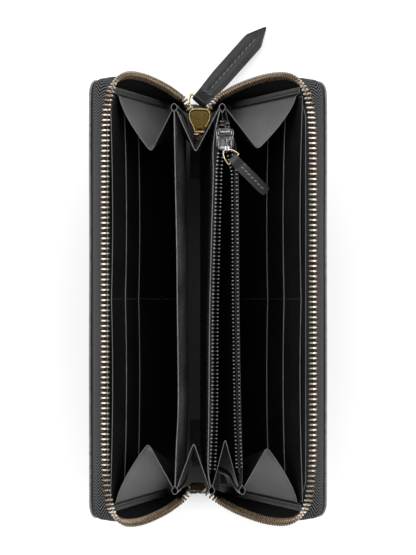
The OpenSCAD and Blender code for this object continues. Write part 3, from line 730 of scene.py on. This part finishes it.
def row_path(side):
    """A row of teeth, from the slider round the cover to the stop: its middle line in three parts, and on
    each part the direction that its teeth point in. On the short ends the teeth flare out of the cover."""
    base, out = edge_path()
    half = np.array(ROW_CURVE)
    yz = spline(np.concatenate([half, half[::-1] * [-1, 1]]), len(base))
    on = on_cover(side, ROW_IN, yz[:, 0], yz[:, 1])
    outward = on_cover(side, 0, out[:, 0], out[:, 1]) - on_cover(side, 0, 0, 0)
    flare = np.radians(END_FLARE + (SIDE_FLARE - END_FLARE) * smooth(out[:, 1], 0.1, 0.9))[:, None]
    axis = inward_of(side) * np.cos(flare) + outward * np.sin(flare)
    lead = spline([*FRONT_RUN[side][::-1], on[0], on[4]], RUN_STEPS)
    lead = lead[lead[:, 2] < on[0, 2] - 0.1]
    tail = spline([on[-5], on[-1], *BACK_RUN[side]], RUN_STEPS)
    tail = tail[tail[:, 2] < on[-1, 2] - 0.1]
    level = np.array([-side, 0, 0.0])
    k = smooth(np.linspace(0, 1, len(lead)))[:, None]
    lead_axis = level * (1 - k) + axis[0] * k
    k = smooth(np.linspace(0, 1, len(tail)))[:, None]
    tail_axis = axis[-1] * (1 - k) + level * k
    return (lead, on, tail), (lead_axis, axis, tail_axis), base, out, outward


def tooth(x, thick, high, c, root, reach):
    """A zip tooth along x: an eight-sided bar given by its half widths, waisted behind its head. c sets where
    its corners are cut; root and reach set where its pale tip colour, painted highlight and wear, starts and
    ends."""
    ring = np.array([[1, c], [c, 1], [-c, 1], [-1, c], [-1, -c], [-c, -1], [c, -1], [1, -c]])
    x, thick, high = (np.array(v)[:, None] for v in (x, thick, high))
    points, faces, _, paint = loft(xyz(x, thick * ring[:, 0], high * ring[:, 1]))
    return points, faces, np.stack([(points[:, 0] + root) / reach, points[:, 2]], -1), paint


MAIN_TOOTH = tooth([-1.95, -1.7, -0.3, 0.5, 0.95, 1.45, 1.95], [0.36, 0.56, 0.58, 0.5, 0.32, 0.48, 0.28],
                   [0.85, 1.1, 1.1, 1.0, 0.55, 0.75, 0.4], 0.55, 1.9, 3.8)
COIN_TOOTH = tooth([-1.5, -1.25, 0.2, 0.6, 1.2, 1.5], [0.3, 0.4, 0.4, 0.33, 0.42, 0.25],
                   [0.6, 0.78, 0.78, 0.65, 0.7, 0.4], 0.6, 1.5, 3)

for side in (-1, 1):
    name = SIDE[side]
    cover = "cover_" + name
    (lead, on, tail), axes, base, out, outward = row_path(side)
    row = np.concatenate([lead, on, tail])
    total = lengths(row)[-1]
    start = 1.0 if side < 0 else 1.0 + PITCH / 2
    s = np.arange(start, total - 0.8, PITCH)
    origins = at_length(row, s)
    along = unit(at_length(row, s + 0.4) - at_length(row, s - 0.4))
    axis = np.stack([np.interp(s, lengths(row), column) for column in np.concatenate(axes).T], -1)
    axis = unit(axis - along * np.sum(axis * along, -1, keepdims=True))
    axis = unit(axis + rng.normal(0, 0.02, (len(s), 1)) * along)
    row = scatter(MAIN_TOOTH, origins, frames_of(axis, along))
    teeth = piece("teeth_" + name, [row], [TOOTH], sharp=35)
    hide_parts("zip_teeth_" + name)
    side * 3 * MM + 0.0009
    side * 10.5 * MM
    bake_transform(teeth)

    # Tape: sewn in between leather and lining, then curving in and out to the row of teeth. Near the spine
    # its sewn edge stays on the cover while its other edge runs to the slider or the stop.
    q = np.linspace(0, 1, 15)
    sewn_x = np.interp(q, [0, 0.3, FREE_AT, 1], [-0.7, -0.7, -0.6, -0.6])
    sewn_o = np.interp(q, [0, 0.3, FREE_AT, 1], [-4.6, -1.3, -1.0, -1.0])
    w = np.clip((q - FREE_AT) / (1 - FREE_AT), 0, 1)[None, :, None]
    yz = base[:, None] + sewn_o[None, :, None] * out[:, None]
    sewn = on_cover(side, sewn_x, yz[..., 0], yz[..., 1])
    corner = 4 * out[:, 0] ** 2 * out[:, 1] ** 2
    belly = (2.2 * smooth(base[:, 1], 66, 92) - 0.6 + 0.9 * corner)[:, None, None] * np.sin(np.pi * w)
    main = sewn * (1 - w) + (on - TOOTH_ROOT * axes[1])[:, None] * w + belly * outward[:, None]

    def run(line, axis, end):
        """The tape beside a lead or tail, its sections carried from the cover's edge to the row's end."""
        k = np.linspace(0, 1, len(line))[:, None]
        z0 = ROW_START - (ROW_START - 7.0) * k
        edge = on_cover(side, sewn_x, end * (HALF + sewn_o), z0)
        body = edge * (1 - w) + (line - TOOTH_ROOT * axis)[:, None] * w
        gap = (main[0] if end > 0 else main[-1]) - body[0]
        return body + gap[None] * (1 - smooth(k))[..., None]

    front = run(lead[::-1], axes[0][::-1], 1)[::-1]
    back = run(tail, axes[2], -1)
    mid = np.concatenate([front[:-1], main, back[1:]])
    # The tape's inner face gets the darker copy of the tape, as painted shade.
    inside = (0, 1, 0) if side < 0 else (1, 0, 0)
    tape = piece("tape_" + name, [shell(mid, TAPE_T, 2, paint=inside)], [TAPE, TAPE_INSIDE])
    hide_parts("zip_tape_" + name)
    side * 3 * MM + 0.0009
    side * 10.5 * MM
    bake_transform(tape)


# ---- Spine ----

y = np.linspace(-1, 1, 60) * (HALF - 1.8)
sheet = xyz(np.linspace(-7.3, 7.3, 9)[:, None], y, 2.0 + 0.05 * np.sin(y / 9.0))
spine_lining = piece("spine_lining_sheet", [shell(sheet, LINING_T, 2)], [SPINE_CLOTH, SPINE_CLOTH])
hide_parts("spine_lining")
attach(spine_lining, "root")

# Where the zip ends: its tape goes down behind the slider, with a bit of closed chain, and behind the stop.
TAIL = [      # Y, Z
    (88.5, 15.6), (82.0, 15.6), (77.6, 15.2), (73.4, 12.2), (69.8, 7.2), (65.6, 3.4), (60.0, 2.75)]
for end, label, first_row in ((1, "front", 0), (-1, "back", 8)):
    line = spline([(ZIP_X, end * y, z) for y, z in TAIL], 40)
    width = np.interp(np.linspace(0, 1, 40), [0, 0.35, 1], [1.6, 4.2, 4.6])[first_row:, None]
    across = np.linspace(-1, 1, 11)
    x, y, z = line[first_row:, :, None].transpose(1, 0, 2)
    mid = xyz(x + width * across, y, z - 0.25 * (1 - across**2))
    tail = piece("tape_tail_" + label, [shell(mid, TAPE_T, 2)], [TAPE, TAPE])
    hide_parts("zip_tail_" + label)
    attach(tail, "root")
    if end > 0:
        s = CHAIN_START + np.arange(0.6, 4.6, PITCH / 2)
        along = unit(at_length(line, s + 0.2) - at_length(line, s - 0.2))
        axis = xyz(np.where(np.arange(len(s)) % 2 == 0, 1.0, -1.0), 0, 0)
        origins = at_length(line, s) - axis * 1.15 + [0, 0, 0.25]
        row = scatter(MAIN_TOOTH, origins, frames_of(axis, along))
        chain = piece("closed_chain_" + label, [row], [TOOTH], sharp=35)
        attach(chain, "root")


# ---- Main slider, stop, ring and pull ----

def mirrored(points):
    """A whole outline from its right half, whose first and last points lie on x = 0."""
    left = [(-x, y) for x, y in points[-2:0:-1]]
    return left[-1:] + points + left[:-1]


def inset(ring, d):
    """An outline moved inwards by d along its own normals."""
    t = unit(np.roll(ring, -1, 0) - np.roll(ring, 1, 0))
    n = np.stack([-t[:, 1], t[:, 0]], -1)
    area = np.sum(ring[:, 0] * np.roll(ring[:, 1], -1) - np.roll(ring[:, 0], -1) * ring[:, 1])
    return ring + n * d * (1 if area > 0 else -1)


def plate(ring, levels):
    """A plate from an outline: at each level (height, inset) the outline is drawn in by its inset."""
    rings = [np.column_stack([inset(ring, d), np.full(len(ring), h)]) for h, d in levels]
    return loft(np.stack(rings))


def bar(low, high, r, paint=0):
    """A block between two corners with its edges eased by r."""
    low, high = np.asarray(low, float), np.asarray(high, float)
    c, h = (low + high) / 2, (high - low) / 2
    base = np.array([[1, 1], [-1, 1], [-1, -1], [1, -1]])
    corners = [(b * (h[:2] - [r, 0]), b * (h[:2] - [0, r])) for b in base]
    ring = np.concatenate([pair if b[0] * b[1] < 0 else pair[::-1] for b, pair in zip(base, corners)])
    levels = ((low[2], r), (low[2] + r, 0), (high[2] - r, 0), (high[2], r))
    rings = [np.column_stack([c[:2] + ring * (1 - e / h[:2]), np.full(8, z)]) for z, e in levels]
    return loft(np.stack(rings), paint)


# The slider: a plaque with a sunk field, a plate under the row, a post and walls between them, and a bridge
# under it all that holds the ring.
SLIDER = np.array([ZIP_X, 80.8, 13.0])
SUNK_FROM = 5         # the first band of the plaque's skin that is its field
shield = [(0, -0.1), (2.5, 0.1), (3.3, 2.6), (4.7, 5.2), (5.4, 7.6), (5.1, 10.2), (3.4, 11.6), (0, 11.9)]
shield = outline(mirrored(shield))
plaque = [(4.0, 0.25), (4.2, 0.0), (4.85, 0.0), (5.15, 0.25), (5.2, 0.55), (5.1, 0.85), (4.85, 1.05),
          (4.82, 1.4), (4.88, 2.2)]
points, (skin, back_cap, field_cap), uv, _ = plate(shield, plaque)
sunk = np.arange(len(skin)) // len(shield) >= SUNK_FROM
face = points, [skin[~sunk], skin[sunk], back_cap, field_cap], uv, [1, 0, 1, 0]
under = plate(shield, [(0, 0.25), (0.2, 0.0), (1.0, 0.0), (1.2, 0.25)])
post = bar([-1.1, 8.3, 1.1], [1.1, 11.6, 4.1], 0.3)
walls = [bar([x - 0.4, 5.0, z], [x + 0.4, 9.6, z + 0.95], 0.2) for x in (-4.9, 4.9) for z in (1.1, 3.15)]
arch = [(0, 2.9, 0.2), (0, 2.7, -1.8), (0, 3.6, -2.6), (0, 6.5, -2.8), (0, 10.2, -2.7), (0, 11.7, -2.3),
        (0, 12.0, -1.1), (0, 11.9, 0.6)]
bridge = tube(spline(arch, 26), 0.42, 10, up=(1, 0, 0))
shapes = [placed(shape, SLIDER) for shape in [face, under, post, bridge, *walls]]
slider = piece("main_slider", shapes, [BRASS, BRIGHT_BRASS], sharp=40)
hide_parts("slider_body")
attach(slider, "root")

# The stop is one folded clip over the last teeth, with four small bars across its top.
clip = [(-3.3, -1.6), (0, -1.9), (3.2, -1.6), (3.4, 0), (3.2, 1.6), (0, 1.9), (-3.3, 1.6), (-3.5, 0)]
clip_side = [(14.1, 0.4), (14.4, 0.05), (14.9, 0.0), (16.3, 0.0), (16.8, 0.1), (17.0, 0.6)]
stop = plate(outline(clip, 40) + [-0.2, -91.4], clip_side)
grooves = [bar([-3.2 + k * 1.75, -93.0, 16.75], [-2.3 + k * 1.75, -89.8, 17.15], 0.15) for k in range(4)]
stop = piece("zip_stop_clip", [stop] + grooves, [DARK_BRASS], sharp=40)
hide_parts("zip_stop")
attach(stop, "root")

PULL_TURN, PULL_DROP = math.radians(49.3), math.radians(12.2)
BAR = np.array([1.3, 97.1, 11.9])
PULL_T, COIN_PULL_T = 2.2, 1.4


def wire_d(r, start, reach, taper, radius, sides):
    """A D of wire: a straight bar at the origin and a bow that runs back from start. The bow is a half circle
    whose height is raised to the power taper, so it narrows towards its far end."""
    w = np.linspace(np.pi / 2, 3 * np.pi / 2, 40)
    high = np.sign(np.sin(w)) * np.abs(np.sin(w)) ** taper
    bow = xyz(start + reach * np.cos(w), r * high, 0)
    straight = xyz(0.0, np.linspace(-r + 0.3, r - 0.3, 9), 0)
    return tube(np.concatenate([bow, straight]), radius, sides, closed=True)


wire = placed(wire_d(5.5, -0.2, 5.5, 1.0, 0.6, 12), BAR, PULL_TURN)
ring = piece("main_d_ring", [wire], [GOLD])
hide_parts("main_ring")
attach(ring, "main_ring")


def strap(length, root, widest, tip, thick, loop, n=64, end=0.55):
    """A leather pull along +X: two plies that loop round a bar at the origin and lie together out to its tip.
    Its width swells from root to widest, then closes in over tip to end; loop opens the plies there."""
    over_tip = length - tip + tip * np.sin(np.linspace(0, np.pi / 2, 17))
    x = np.concatenate([np.linspace(0, length - tip, n - 16)[:-1], over_tip])
    half = np.interp(x, [0, length * 0.3, length - tip - 1.5, length - tip, length],
                     [root / 2, widest / 2, widest / 2, widest / 2 - 0.2, end])
    v = np.linspace(-1, 1, 15)
    y = half[:, None] * v
    x = x[:, None]
    plump = thick * (0.5 - 0.16 * smooth(np.abs(v), 0.62, 1.0))
    groove = 0.22 * np.exp(-((v / 0.16) ** 2)) * smooth(x, 4, 8) * (1 - smooth(x, length - 7, length - 4))
    dent = 0.22 * np.exp(-(((x - 4.6) / 0.9) ** 2))
    h = plump - groove - dent
    eye = (loop + 0.55) * np.exp(-((x / 2.2) ** 2))
    top = xyz(x, y, h + eye * (1 - 0.1 * v**2))
    low = xyz(x, y, -h - eye * (1 - 0.1 * v**2))
    wrap = np.linspace(np.pi / 2, 3 * np.pi / 2, 12)[1:-1, None]
    r0 = (h + eye)[0]
    grid = np.concatenate([top[::-1], xyz(r0 * np.cos(wrap) * 0.9, y[0], r0 * np.sin(wrap)), low])
    nu, nv = grid.shape[:2]
    ids = np.arange(nu * nv).reshape(nu, nv)
    k = len(top)
    faces = [grid_faces(nu, nv)]
    for col in (0, nv - 1):
        a, b = (ids[:k, col], ids[::-1, col][:k])[:: 1 if col else -1]
        faces.append(np.stack([a[:-1], a[1:], b[1:], b[:-1]], -1))
        faces.append(ids[k - 1:nu - k + 1, col][None, :: -1 if col else 1])
    faces.append(np.stack([ids[0, :-1], ids[-1, :-1], ids[-1, 1:], ids[0, 1:]], -1))
    run = np.concatenate([x[::-1], 0 * wrap, x])
    uv = np.stack(np.broadcast_arrays(run, v * widest / 2), -1)
    return grid.reshape(-1, 3), faces, uv.reshape(-1, 2), [0] + [1] * 5


def pull_stitches(thick, start, stop_at, stitch, slant):
    """A pull's centre stitches on both faces."""
    lines = [(xyz(np.array([start, stop_at]), 0, up * (thick / 2 - 0.1)), (0, 0, up)) for up in (1.0, -1.0)]
    return [stitch_row(line, normal, *stitch, slant) for line, normal in lines]


body = placed(strap(50.5, 7.8, 9.8, 9.0, PULL_T, 0.6), BAR, PULL_TURN, PULL_DROP)
pull = piece("main_leather_pull", [body], [PULL, OUTER_EDGE])
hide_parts("main_pull")
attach(pull, "main_pull")
rows = pull_stitches(PULL_T, 7.5, 44.0, PULL_STITCH, 0.18)
rows.append(stitch_row(np.array([[4.9, -2.8, 1.05], [4.9, 2.8, 1.05]]), (0, 0, 1.0), 2.6, 2.0, 0.3, 0.5))
rows = [placed(row, BAR, PULL_TURN, PULL_DROP) for row in rows]
stitches = piece("main_pull_stitches", rows, [PULL_THREAD])
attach(stitches, "main_pull")


# ---- Leaves ----

LEAF_H = LEAF_TOP - LEAF_Z
TOP_EDGE = {      # where each leaf's top edge stands along the spine: Y, X
    "divider": [(-87, -9.9), (-67, -9.2), (-45, -8.3), (0, -8.8), (22, -9.0), (66, -9.9), (87, -10.2)],
    "coin_left": [(-87, 6.8), (-77, 5.1), (-54, 5.4), (-23, 5.6), (0, 5.9), (35, 6.8), (56, 7.4), (66, 7.3),
                  (76, 8.4), (87, 11.0)],
    "coin_right": [(-87, 20.2), (-73, 20.3), (-45, 19.6), (0, 18.9), (51, 18.6), (62, 18.2), (70, 17.0),
                   (78, 14.4), (87, 12.4)],
}
FEET = {"divider": -7.0, "coin_left": 1.5, "coin_right": 5.0}
BOW = {"divider": 3.4, "coin_left": 0.0, "coin_right": 0.0}
LEAF_SEAM_Z = LEAF_TOP - 3.6
LOOP_WIDTH, LOOP_REACH = 1.35, 4.0


def leaf_x(leaf, y, z):
    """Where a leaf's middle stands: on a curve from its foot to its top edge, straighter near the top."""
    edge, middle = curve_at(TOP_EDGE[leaf], y, 120), curve_at(TOP_EDGE[leaf], 0.0, 120)
    h = (z - LEAF_Z) / LEAF_H
    bow = BOW[leaf] * smooth(1 - h, 0.0, 0.26) * (1 - smooth(1 - h, 0.3, 0.95))
    return FEET[leaf] + (middle - FEET[leaf]) * h + (edge - middle) * smooth(h, 0.1, 1.0) + bow


def leaf_half(z):
    """Half a leaf's length at a height: its lower corners are cut back, its top corners are round."""
    zz = z - LEAF_Z
    half = np.interp(zz, [0, 18, 50, 60, 68, LEAF_H], [FOOT_HALF, FOOT_HALF, 79.2, 80.6, 84.4, 85.6])
    return half - (2.5 - np.sqrt(np.maximum(2.5**2 - np.clip(zz - LEAF_H + 2.5, 0, 2.5) ** 2, 0)))


def leaf_piece(leaf, body, cad, face=LEAF, edge=FOLD_EDGE):
    """A leaf of turned leather with a stitch row below its top edge on both faces."""
    over_top = LEAF_TOP - 2.5 + 2.3 * np.sin(np.linspace(0, np.pi / 2, 8))
    z = np.concatenate([np.linspace(LEAF_Z, LEAF_TOP - 3, 26), over_top])[:, None]
    y = (leaf_half(z) - 0.3) * np.linspace(-1, 1, 110)
    t = 0.78 - 0.26 * smooth(z + 0 * y, LEAF_TOP - 2.4, LEAF_TOP - 0.6)
    obj = piece(body + "_leaf", [shell(xyz(leaf_x(leaf, y, z), y, z), t, 6)], [face, edge])
    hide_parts(cad)
    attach(obj, body)
    y = np.linspace(-84, 84, 60)
    x = leaf_x(leaf, y, LEAF_SEAM_Z)
    rows = [stitch_row(xyz(x + s * 0.44, y, LEAF_SEAM_Z), (s, 0, 0.0), *LEAF_STITCH) for s in (-1, 1)]
    seam = piece(body + "_stitches", rows, [DARK_THREAD])
    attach(seam, body)


leaf_piece("divider", "divider", "divider", face=DIVIDER)
leaf_piece("coin_left", "coin_wall_left", "coin_wall_left")
leaf_piece("coin_right", "coin_wall_right", "coin_wall_right", edge=LEAF)


def add_loop(name, body, leaf, end, shift=0.0):
    """The gusset leather's turn round a leaf's end: a drop-shaped loop in plan, carried up the end."""
    w = np.linspace(0, FULL_TURN, 34)
    z = np.linspace(30.0, 80.6, 20)[:, None]
    width = LOOP_WIDTH * np.sin(w) * (0.35 + 0.65 * smooth(1 - np.cos(w), 0.0, 1.2))
    x = leaf_x(leaf, end * 86.0, z) + shift + width
    y = 78.6 + 4.8 * smooth(z, 54, 76) + (1 - np.cos(w)) / 2 * LOOP_REACH
    obj = piece(name, [shell(xyz(x, end * y, z), 0.3, 4)], [GUSSET, FOLD_EDGE])
    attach(obj, body)


add_loop("divider_loop_front", "divider", "divider", 1)
add_loop("divider_loop_back", "divider", "divider", -1)
add_loop("coin_loop_front", "coin_wall_left", "coin_left", 1, 0.6)
add_loop("coin_left_loop_back", "coin_wall_left", "coin_left", -1)
add_loop("coin_right_loop_back", "coin_wall_right", "coin_right", -1)


# ---- Gussets ----

GUSSET_FOOT, LEAF_LINE_FOOT = 16.0, 20.0      # on a cover, on a leaf
LINE_STEPS = 18
FOLD_STEPS = 25       # from a line to the fold, counting both ends


def cover_line(side, end, top):
    """The line that a gusset follows on a cover: in front of the card panels, close to the cover's end."""
    return on_cover(side, 2.45, end * 91.2, np.linspace(GUSSET_FOOT, top, LINE_STEPS))


def leaf_line(leaf, end, face, top):
    """The line that a gusset follows on one face of a leaf, up its end."""
    z = np.linspace(LEAF_LINE_FOOT, top, LINE_STEPS)
    y = np.interp(z, [LEAF_LINE_FOOT, 50, 62, 70, top], [78.6, 79.2, 80.6, 84.2, 85.0])
    return xyz(leaf_x(leaf, end * y, z) + face * 0.75, end * y, z)


def gusset_sections(a, b, fold_top, fold_foot, power_a, power_b):
    """Sections of a folded gusset, foot to top: out from line a to the fold and back to line b. Between a
    line and the fold a section runs as a power of its depth, and its nose is eased by averaging."""
    n = len(a)
    h = np.linspace(0, 1, n)[:, None]
    fold = np.asarray(fold_foot) * (1 - h) + np.asarray(fold_top) * h
    fold[:, 2] = (a[:, 2] + b[:, 2]) / 2 * (1 - h[:, 0] ** 3) + fold[:, 2] * h[:, 0] ** 3
    d = np.linspace(0, 1, FOLD_STEPS)
    width = 2 * FOLD_STEPS - 1
    grid = np.empty((n, width, 3))
    sides = ((a, power_a, slice(0, FOLD_STEPS)), (b, power_b, slice(width - 1, FOLD_STEPS - 2, -1)))
    for k in range(n):
        for line, power, cut in sides:
            along = line[k] + (fold[k] - line[k]) * d[:, None]
            along[:, 0] = line[k, 0] + (fold[k, 0] - line[k, 0]) * d**power
            grid[k, cut] = along
    kernel = np.array([1, 2, 3, 2, 1.0]) / 9
    before, after = 2 * grid[:, :1] - grid[:, 2:0:-1], 2 * grid[:, -1:] - grid[:, -2:-4:-1]
    padded = np.concatenate([before, grid, after], axis=1)
    return sum(w * padded[:, i:i + width] for i, w in enumerate(kernel))


GUSSETS = {      # the fold's upper end, and how high the gusset goes on its cover
    ("1", 1): ((-20.6, 66.0, 77.5), 79.0), ("1", -1): ((-21.9, -64.8, 77.5), 82.5),
    ("2", 1): ((-0.55, 65.8, 78.6), None), ("2", -1): ((-1.4, -64.4, 78.6), None),
    ("3", 1): ((12.6, 72.0, 74.0), None), ("3", -1): ((12.7, -62.8, 77.0), None),
    ("4", 1): ((27.3, 67.2, 77.0), 82.0), ("4", -1): ((31.5, -66.6, 77.0), 83.0),
}
SIDES = {"1": ("cover", "divider"), "2": ("divider", "coin_left"), "3": ("coin_left", "coin_right"),
         "4": ("coin_right", "cover")}
LEAF_BODY = {"divider": "divider", "coin_left": "coin_wall_left", "coin_right": "coin_wall_right"}
FLANGE = (       # x and y on the cover
    (0.36, 95.3), (0.36, 94.4), (0.36, 93.5), (0.36, 92.7), (0.8, 92.2), (1.7, 91.8))

for (n, end), (tip, cover_top) in GUSSETS.items():
    label = "%s_%s" % (n, "front" if end > 0 else "back")
    side = -1 if n == "1" else 1
    leaf_top = 76.0 if n == "3" else 79.2
    lines = []
    for what, face in zip(SIDES[n], (1, -1)):
        on_leaf = what != "cover"
        lines.append(leaf_line(what, end, face, leaf_top) if on_leaf else cover_line(side, end, cover_top))
    foot = (lines[0][0] + lines[1][0]) / 2
    foot[1] = end * (83.0 if "cover" in SIDES[n] else 73.5)
    powers = [1.4 if what == "cover" else 1.0 for what in SIDES[n]]
    grid = gusset_sections(lines[0], lines[1], tip, foot, *powers)
    for k, what in enumerate(SIDES[n]):
        half_grid = (grid, grid[:, ::-1])[k][:, :FOLD_STEPS]
        if what == "cover":
            z = np.linspace(GUSSET_FOOT, cover_top, LINE_STEPS)
            flange = [on_cover(side, x, end * y, z) for x, y in FLANGE]
            half_grid = np.concatenate([np.stack(flange, 1), half_grid], axis=1)
            body, plane, axis = "cover_" + SIDE[side], on_cover(side, 2.3, 0, 0), inward_of(side)
        else:
            body, plane = LEAF_BODY[what], lines[k][0]
            up = lines[k][-1] - plane
            axis = unit(np.array([up[2], 0, -up[0]]))
        rise = np.linspace(0, 1, LINE_STEPS)[:, None] + np.zeros(half_grid.shape[1])
        half_shell = shell(half_grid, 0.5 - 0.14 * smooth(rise, 0.85, 1.0), 5, cut=("v1",))
        obj = piece("gusset_%s_%s" % (label, "ab"[k]), [half_shell], [GUSSET, FOLD_EDGE])
        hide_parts("gusset_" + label)
        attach(obj, body)
        tuple(plane * MM)
        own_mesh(obj)
        if what == "cover":
            path = on_cover(side, 0.62, end * 93.9, np.linspace(18, cover_top - 1.5, 20))
            row = stitch_row(path, axis, *FLANGE_STITCH)
            seam = piece("flange_stitches_" + label, [row], [DARK_THREAD])
            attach(seam, body)


# ---- Coin pocket's zip ----

COIN_PITCH = 1.7
COIN_END = 78.0
COIN_ROWS = {      # the middle of each row along the spine: Y, X
    -1: [(-82, 6.6), (-76, 7.0), (-60, 7.8), (-45, 8.1), (0, 8.4), (51.5, 9.8), (60, 10.2), (67, 10.9)],
    1: [(-82, 19.4), (-76, 19.0), (-60, 18.3), (-45, 17.9), (0, 17.2), (51.5, 16.8), (60, 15.8), (67, 14.3)],
}


def coin_row(side, y):
    """Where a row of coin teeth stands: it follows its wall and closes in on the slider's mouth."""
    return curve_at(COIN_ROWS[side], y, 160)


for side in (-1, 1):
    name = SIDE[side]
    leaf = "coin_" + name
    body = "coin_wall_" + name
    y = np.arange(-COIN_END + 2, COIN_Y - 1.2, COIN_PITCH) + (0 if side < 0 else COIN_PITCH / 2)
    origins = xyz(coin_row(side, y), y, COIN_ROW_Z)
    along = unit(xyz(np.gradient(coin_row(side, y), y), 1, 0))
    axis = side * xyz(-along[:, 1], along[:, 0], 0)
    row = scatter(COIN_TOOTH, origins, frames_of(axis, along))
    teeth = piece("coin_row_" + name, [row], [BLACK_TOOTH], sharp=35)
    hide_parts("coin_teeth_" + name)
    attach(teeth, body)
    y = np.linspace(-COIN_END, COIN_END, 90)
    wall_low, wall_top = (leaf_x(leaf, y, z) - side * 0.75 for z in (75.8, 79.0))
    row = coin_row(side, np.minimum(y, COIN_Y)) + side * 0.9
    row = np.where(side * (wall_top - row) > 0.2, row, wall_top - side * 0.2)
    section = ((wall_low, 75.8), (wall_top, 78.4), (wall_top * 0.85 + row * 0.15, 79.6),
               (wall_top * 0.5 + row * 0.5, 80.1), (row, 80.15))
    mid = np.stack([xyz(x, y, z) for x, z in section], 1)
    tape = piece("coin_tape_cloth_" + name, [shell(mid, COIN_TAPE_T, 2)], [COIN_TAPE, COIN_TAPE])
    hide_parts("coin_tape_" + name)
    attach(tape, body)
    wall_x = COIN_MID + side * 6.3
    for obj in (teeth, tape):
        wall_x * MM
        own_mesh(obj)

# The closed end of the coin zip: a short joined chain under a folded cap.
y = np.arange(COIN_Y + 9.6, COIN_Y + 13.4, COIN_PITCH / 2)
sides = np.where(np.arange(len(y)) % 2 == 0, 1.0, -1.0)
axis = xyz(sides, 0, 0)
origins = xyz(COIN_MID - sides * 0.9, y, COIN_ROW_Z - 0.9)
joined = scatter(COIN_TOOTH, origins, frames_of(axis, xyz(0, 1, 0 * y)))
cap_low, cap_high = [-2.0, 11.6, -1.4], [2.0, 13.4, -0.2]
cap = placed(bar(cap_low, cap_high, 0.3, 1), np.array([COIN_MID, COIN_Y, COIN_ROW_Z]))
end_piece = piece("coin_zip_joined_end", [joined, cap], [BLACK_METAL, COIN_TAPE], sharp=35)
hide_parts("coin_zip_end")
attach(end_piece, "coin_zip")

# The coin slider: two shaped plates with a raised crown, a post and walls between them, and a bridge over
# them that holds its ring.
COIN_AT = np.array([COIN_MID, COIN_Y, COIN_ROW_Z - 2.3])
small = [(0, -0.1), (2.5, 0.1), (3.2, 1.4), (3.1, 3.6), (3.7, 5.6), (3.9, 8.0), (3.2, 9.4), (0, 9.6)]
small = outline(mirrored(small), 60)
lower = plate(small, [(0, 0.2), (0.2, 0), (0.65, 0), (0.8, 0.2)])
upper = plate(small, [(3.8, 0.25), (3.95, 0), (4.35, 0), (4.6, 0.3), (4.62, 0.8), (4.5, 1.1), (4.48, 1.6)])
post = bar([-0.5, 1.0, 0.7], [0.5, 3.6, 3.9], 0.15)
walls = [bar([x - 0.25, 1.5, z], [x + 0.25, 6.0, z + 0.95], 0.1) for x in (-3.5, 3.5) for z in (0.7, 2.95)]
hook = [(0.85, -0.4, 4.3), (0.85, -0.45, 6.2), (0.85, 0.1, 6.95), (0.85, 2.4, 7.2), (0.85, 4.6, 6.95),
        (0.85, 5.5, 6.2), (0.85, 5.6, 4.4)]
hook = tube(spline(hook, 28), 0.5, 10, up=(1, 0, 0))
latch = bar([0.1, -0.75, 5.9], [1.9, 1.7, 7.5], 0.3, 1)
crown = outline(mirrored([(0, 5.9), (3.3, 6.1), (3.6, 7.5), (3.3, 9.0), (0, 9.2)]), 48)
crown = plate(crown, [(4.3, 0.0), (4.9, 0.05), (5.4, 0.35), (5.65, 0.8), (5.75, 1.35)])
shapes = [placed(shape, COIN_AT) for shape in [lower, upper, post, hook, latch, crown, *walls]]
coin_slider = piece("coin_zip_slider", shapes, [BLACK_METAL, SILVER], sharp=40)
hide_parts("coin_slider")
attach(coin_slider, "coin_slider")

COIN_TURN, COIN_DROP = math.radians(-42.8), math.radians(31)
COIN_BAR = COIN_AT + [3.95, -4.4, 5.9]
wire = placed(wire_d(3.2, 0.0, 5.9, 1.25, 0.34, 10), COIN_BAR, COIN_TURN)
ring = piece("coin_d_ring", [wire], [GOLD])
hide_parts("coin_ring")
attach(ring, "coin_ring")
body = placed(strap(23.5, 4.5, 4.8, 0.8, COIN_PULL_T, 0.45, n=44, end=1.9), COIN_BAR, COIN_TURN, COIN_DROP)
tab = piece("coin_leather_tab", [body], [TAB, OUTER_EDGE])
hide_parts("coin_tab")
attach(tab, "coin_tab")
rows = pull_stitches(COIN_PULL_T, 4.5, 21.5, COIN_PULL_STITCH, 0.25)
rows = [placed(row, COIN_BAR, COIN_TURN, COIN_DROP) for row in rows]
stitches = piece("coin_tab_stitches", rows, [THREAD])
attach(stitches, "coin_tab")
for obj in (tab, stitches):
    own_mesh(obj)
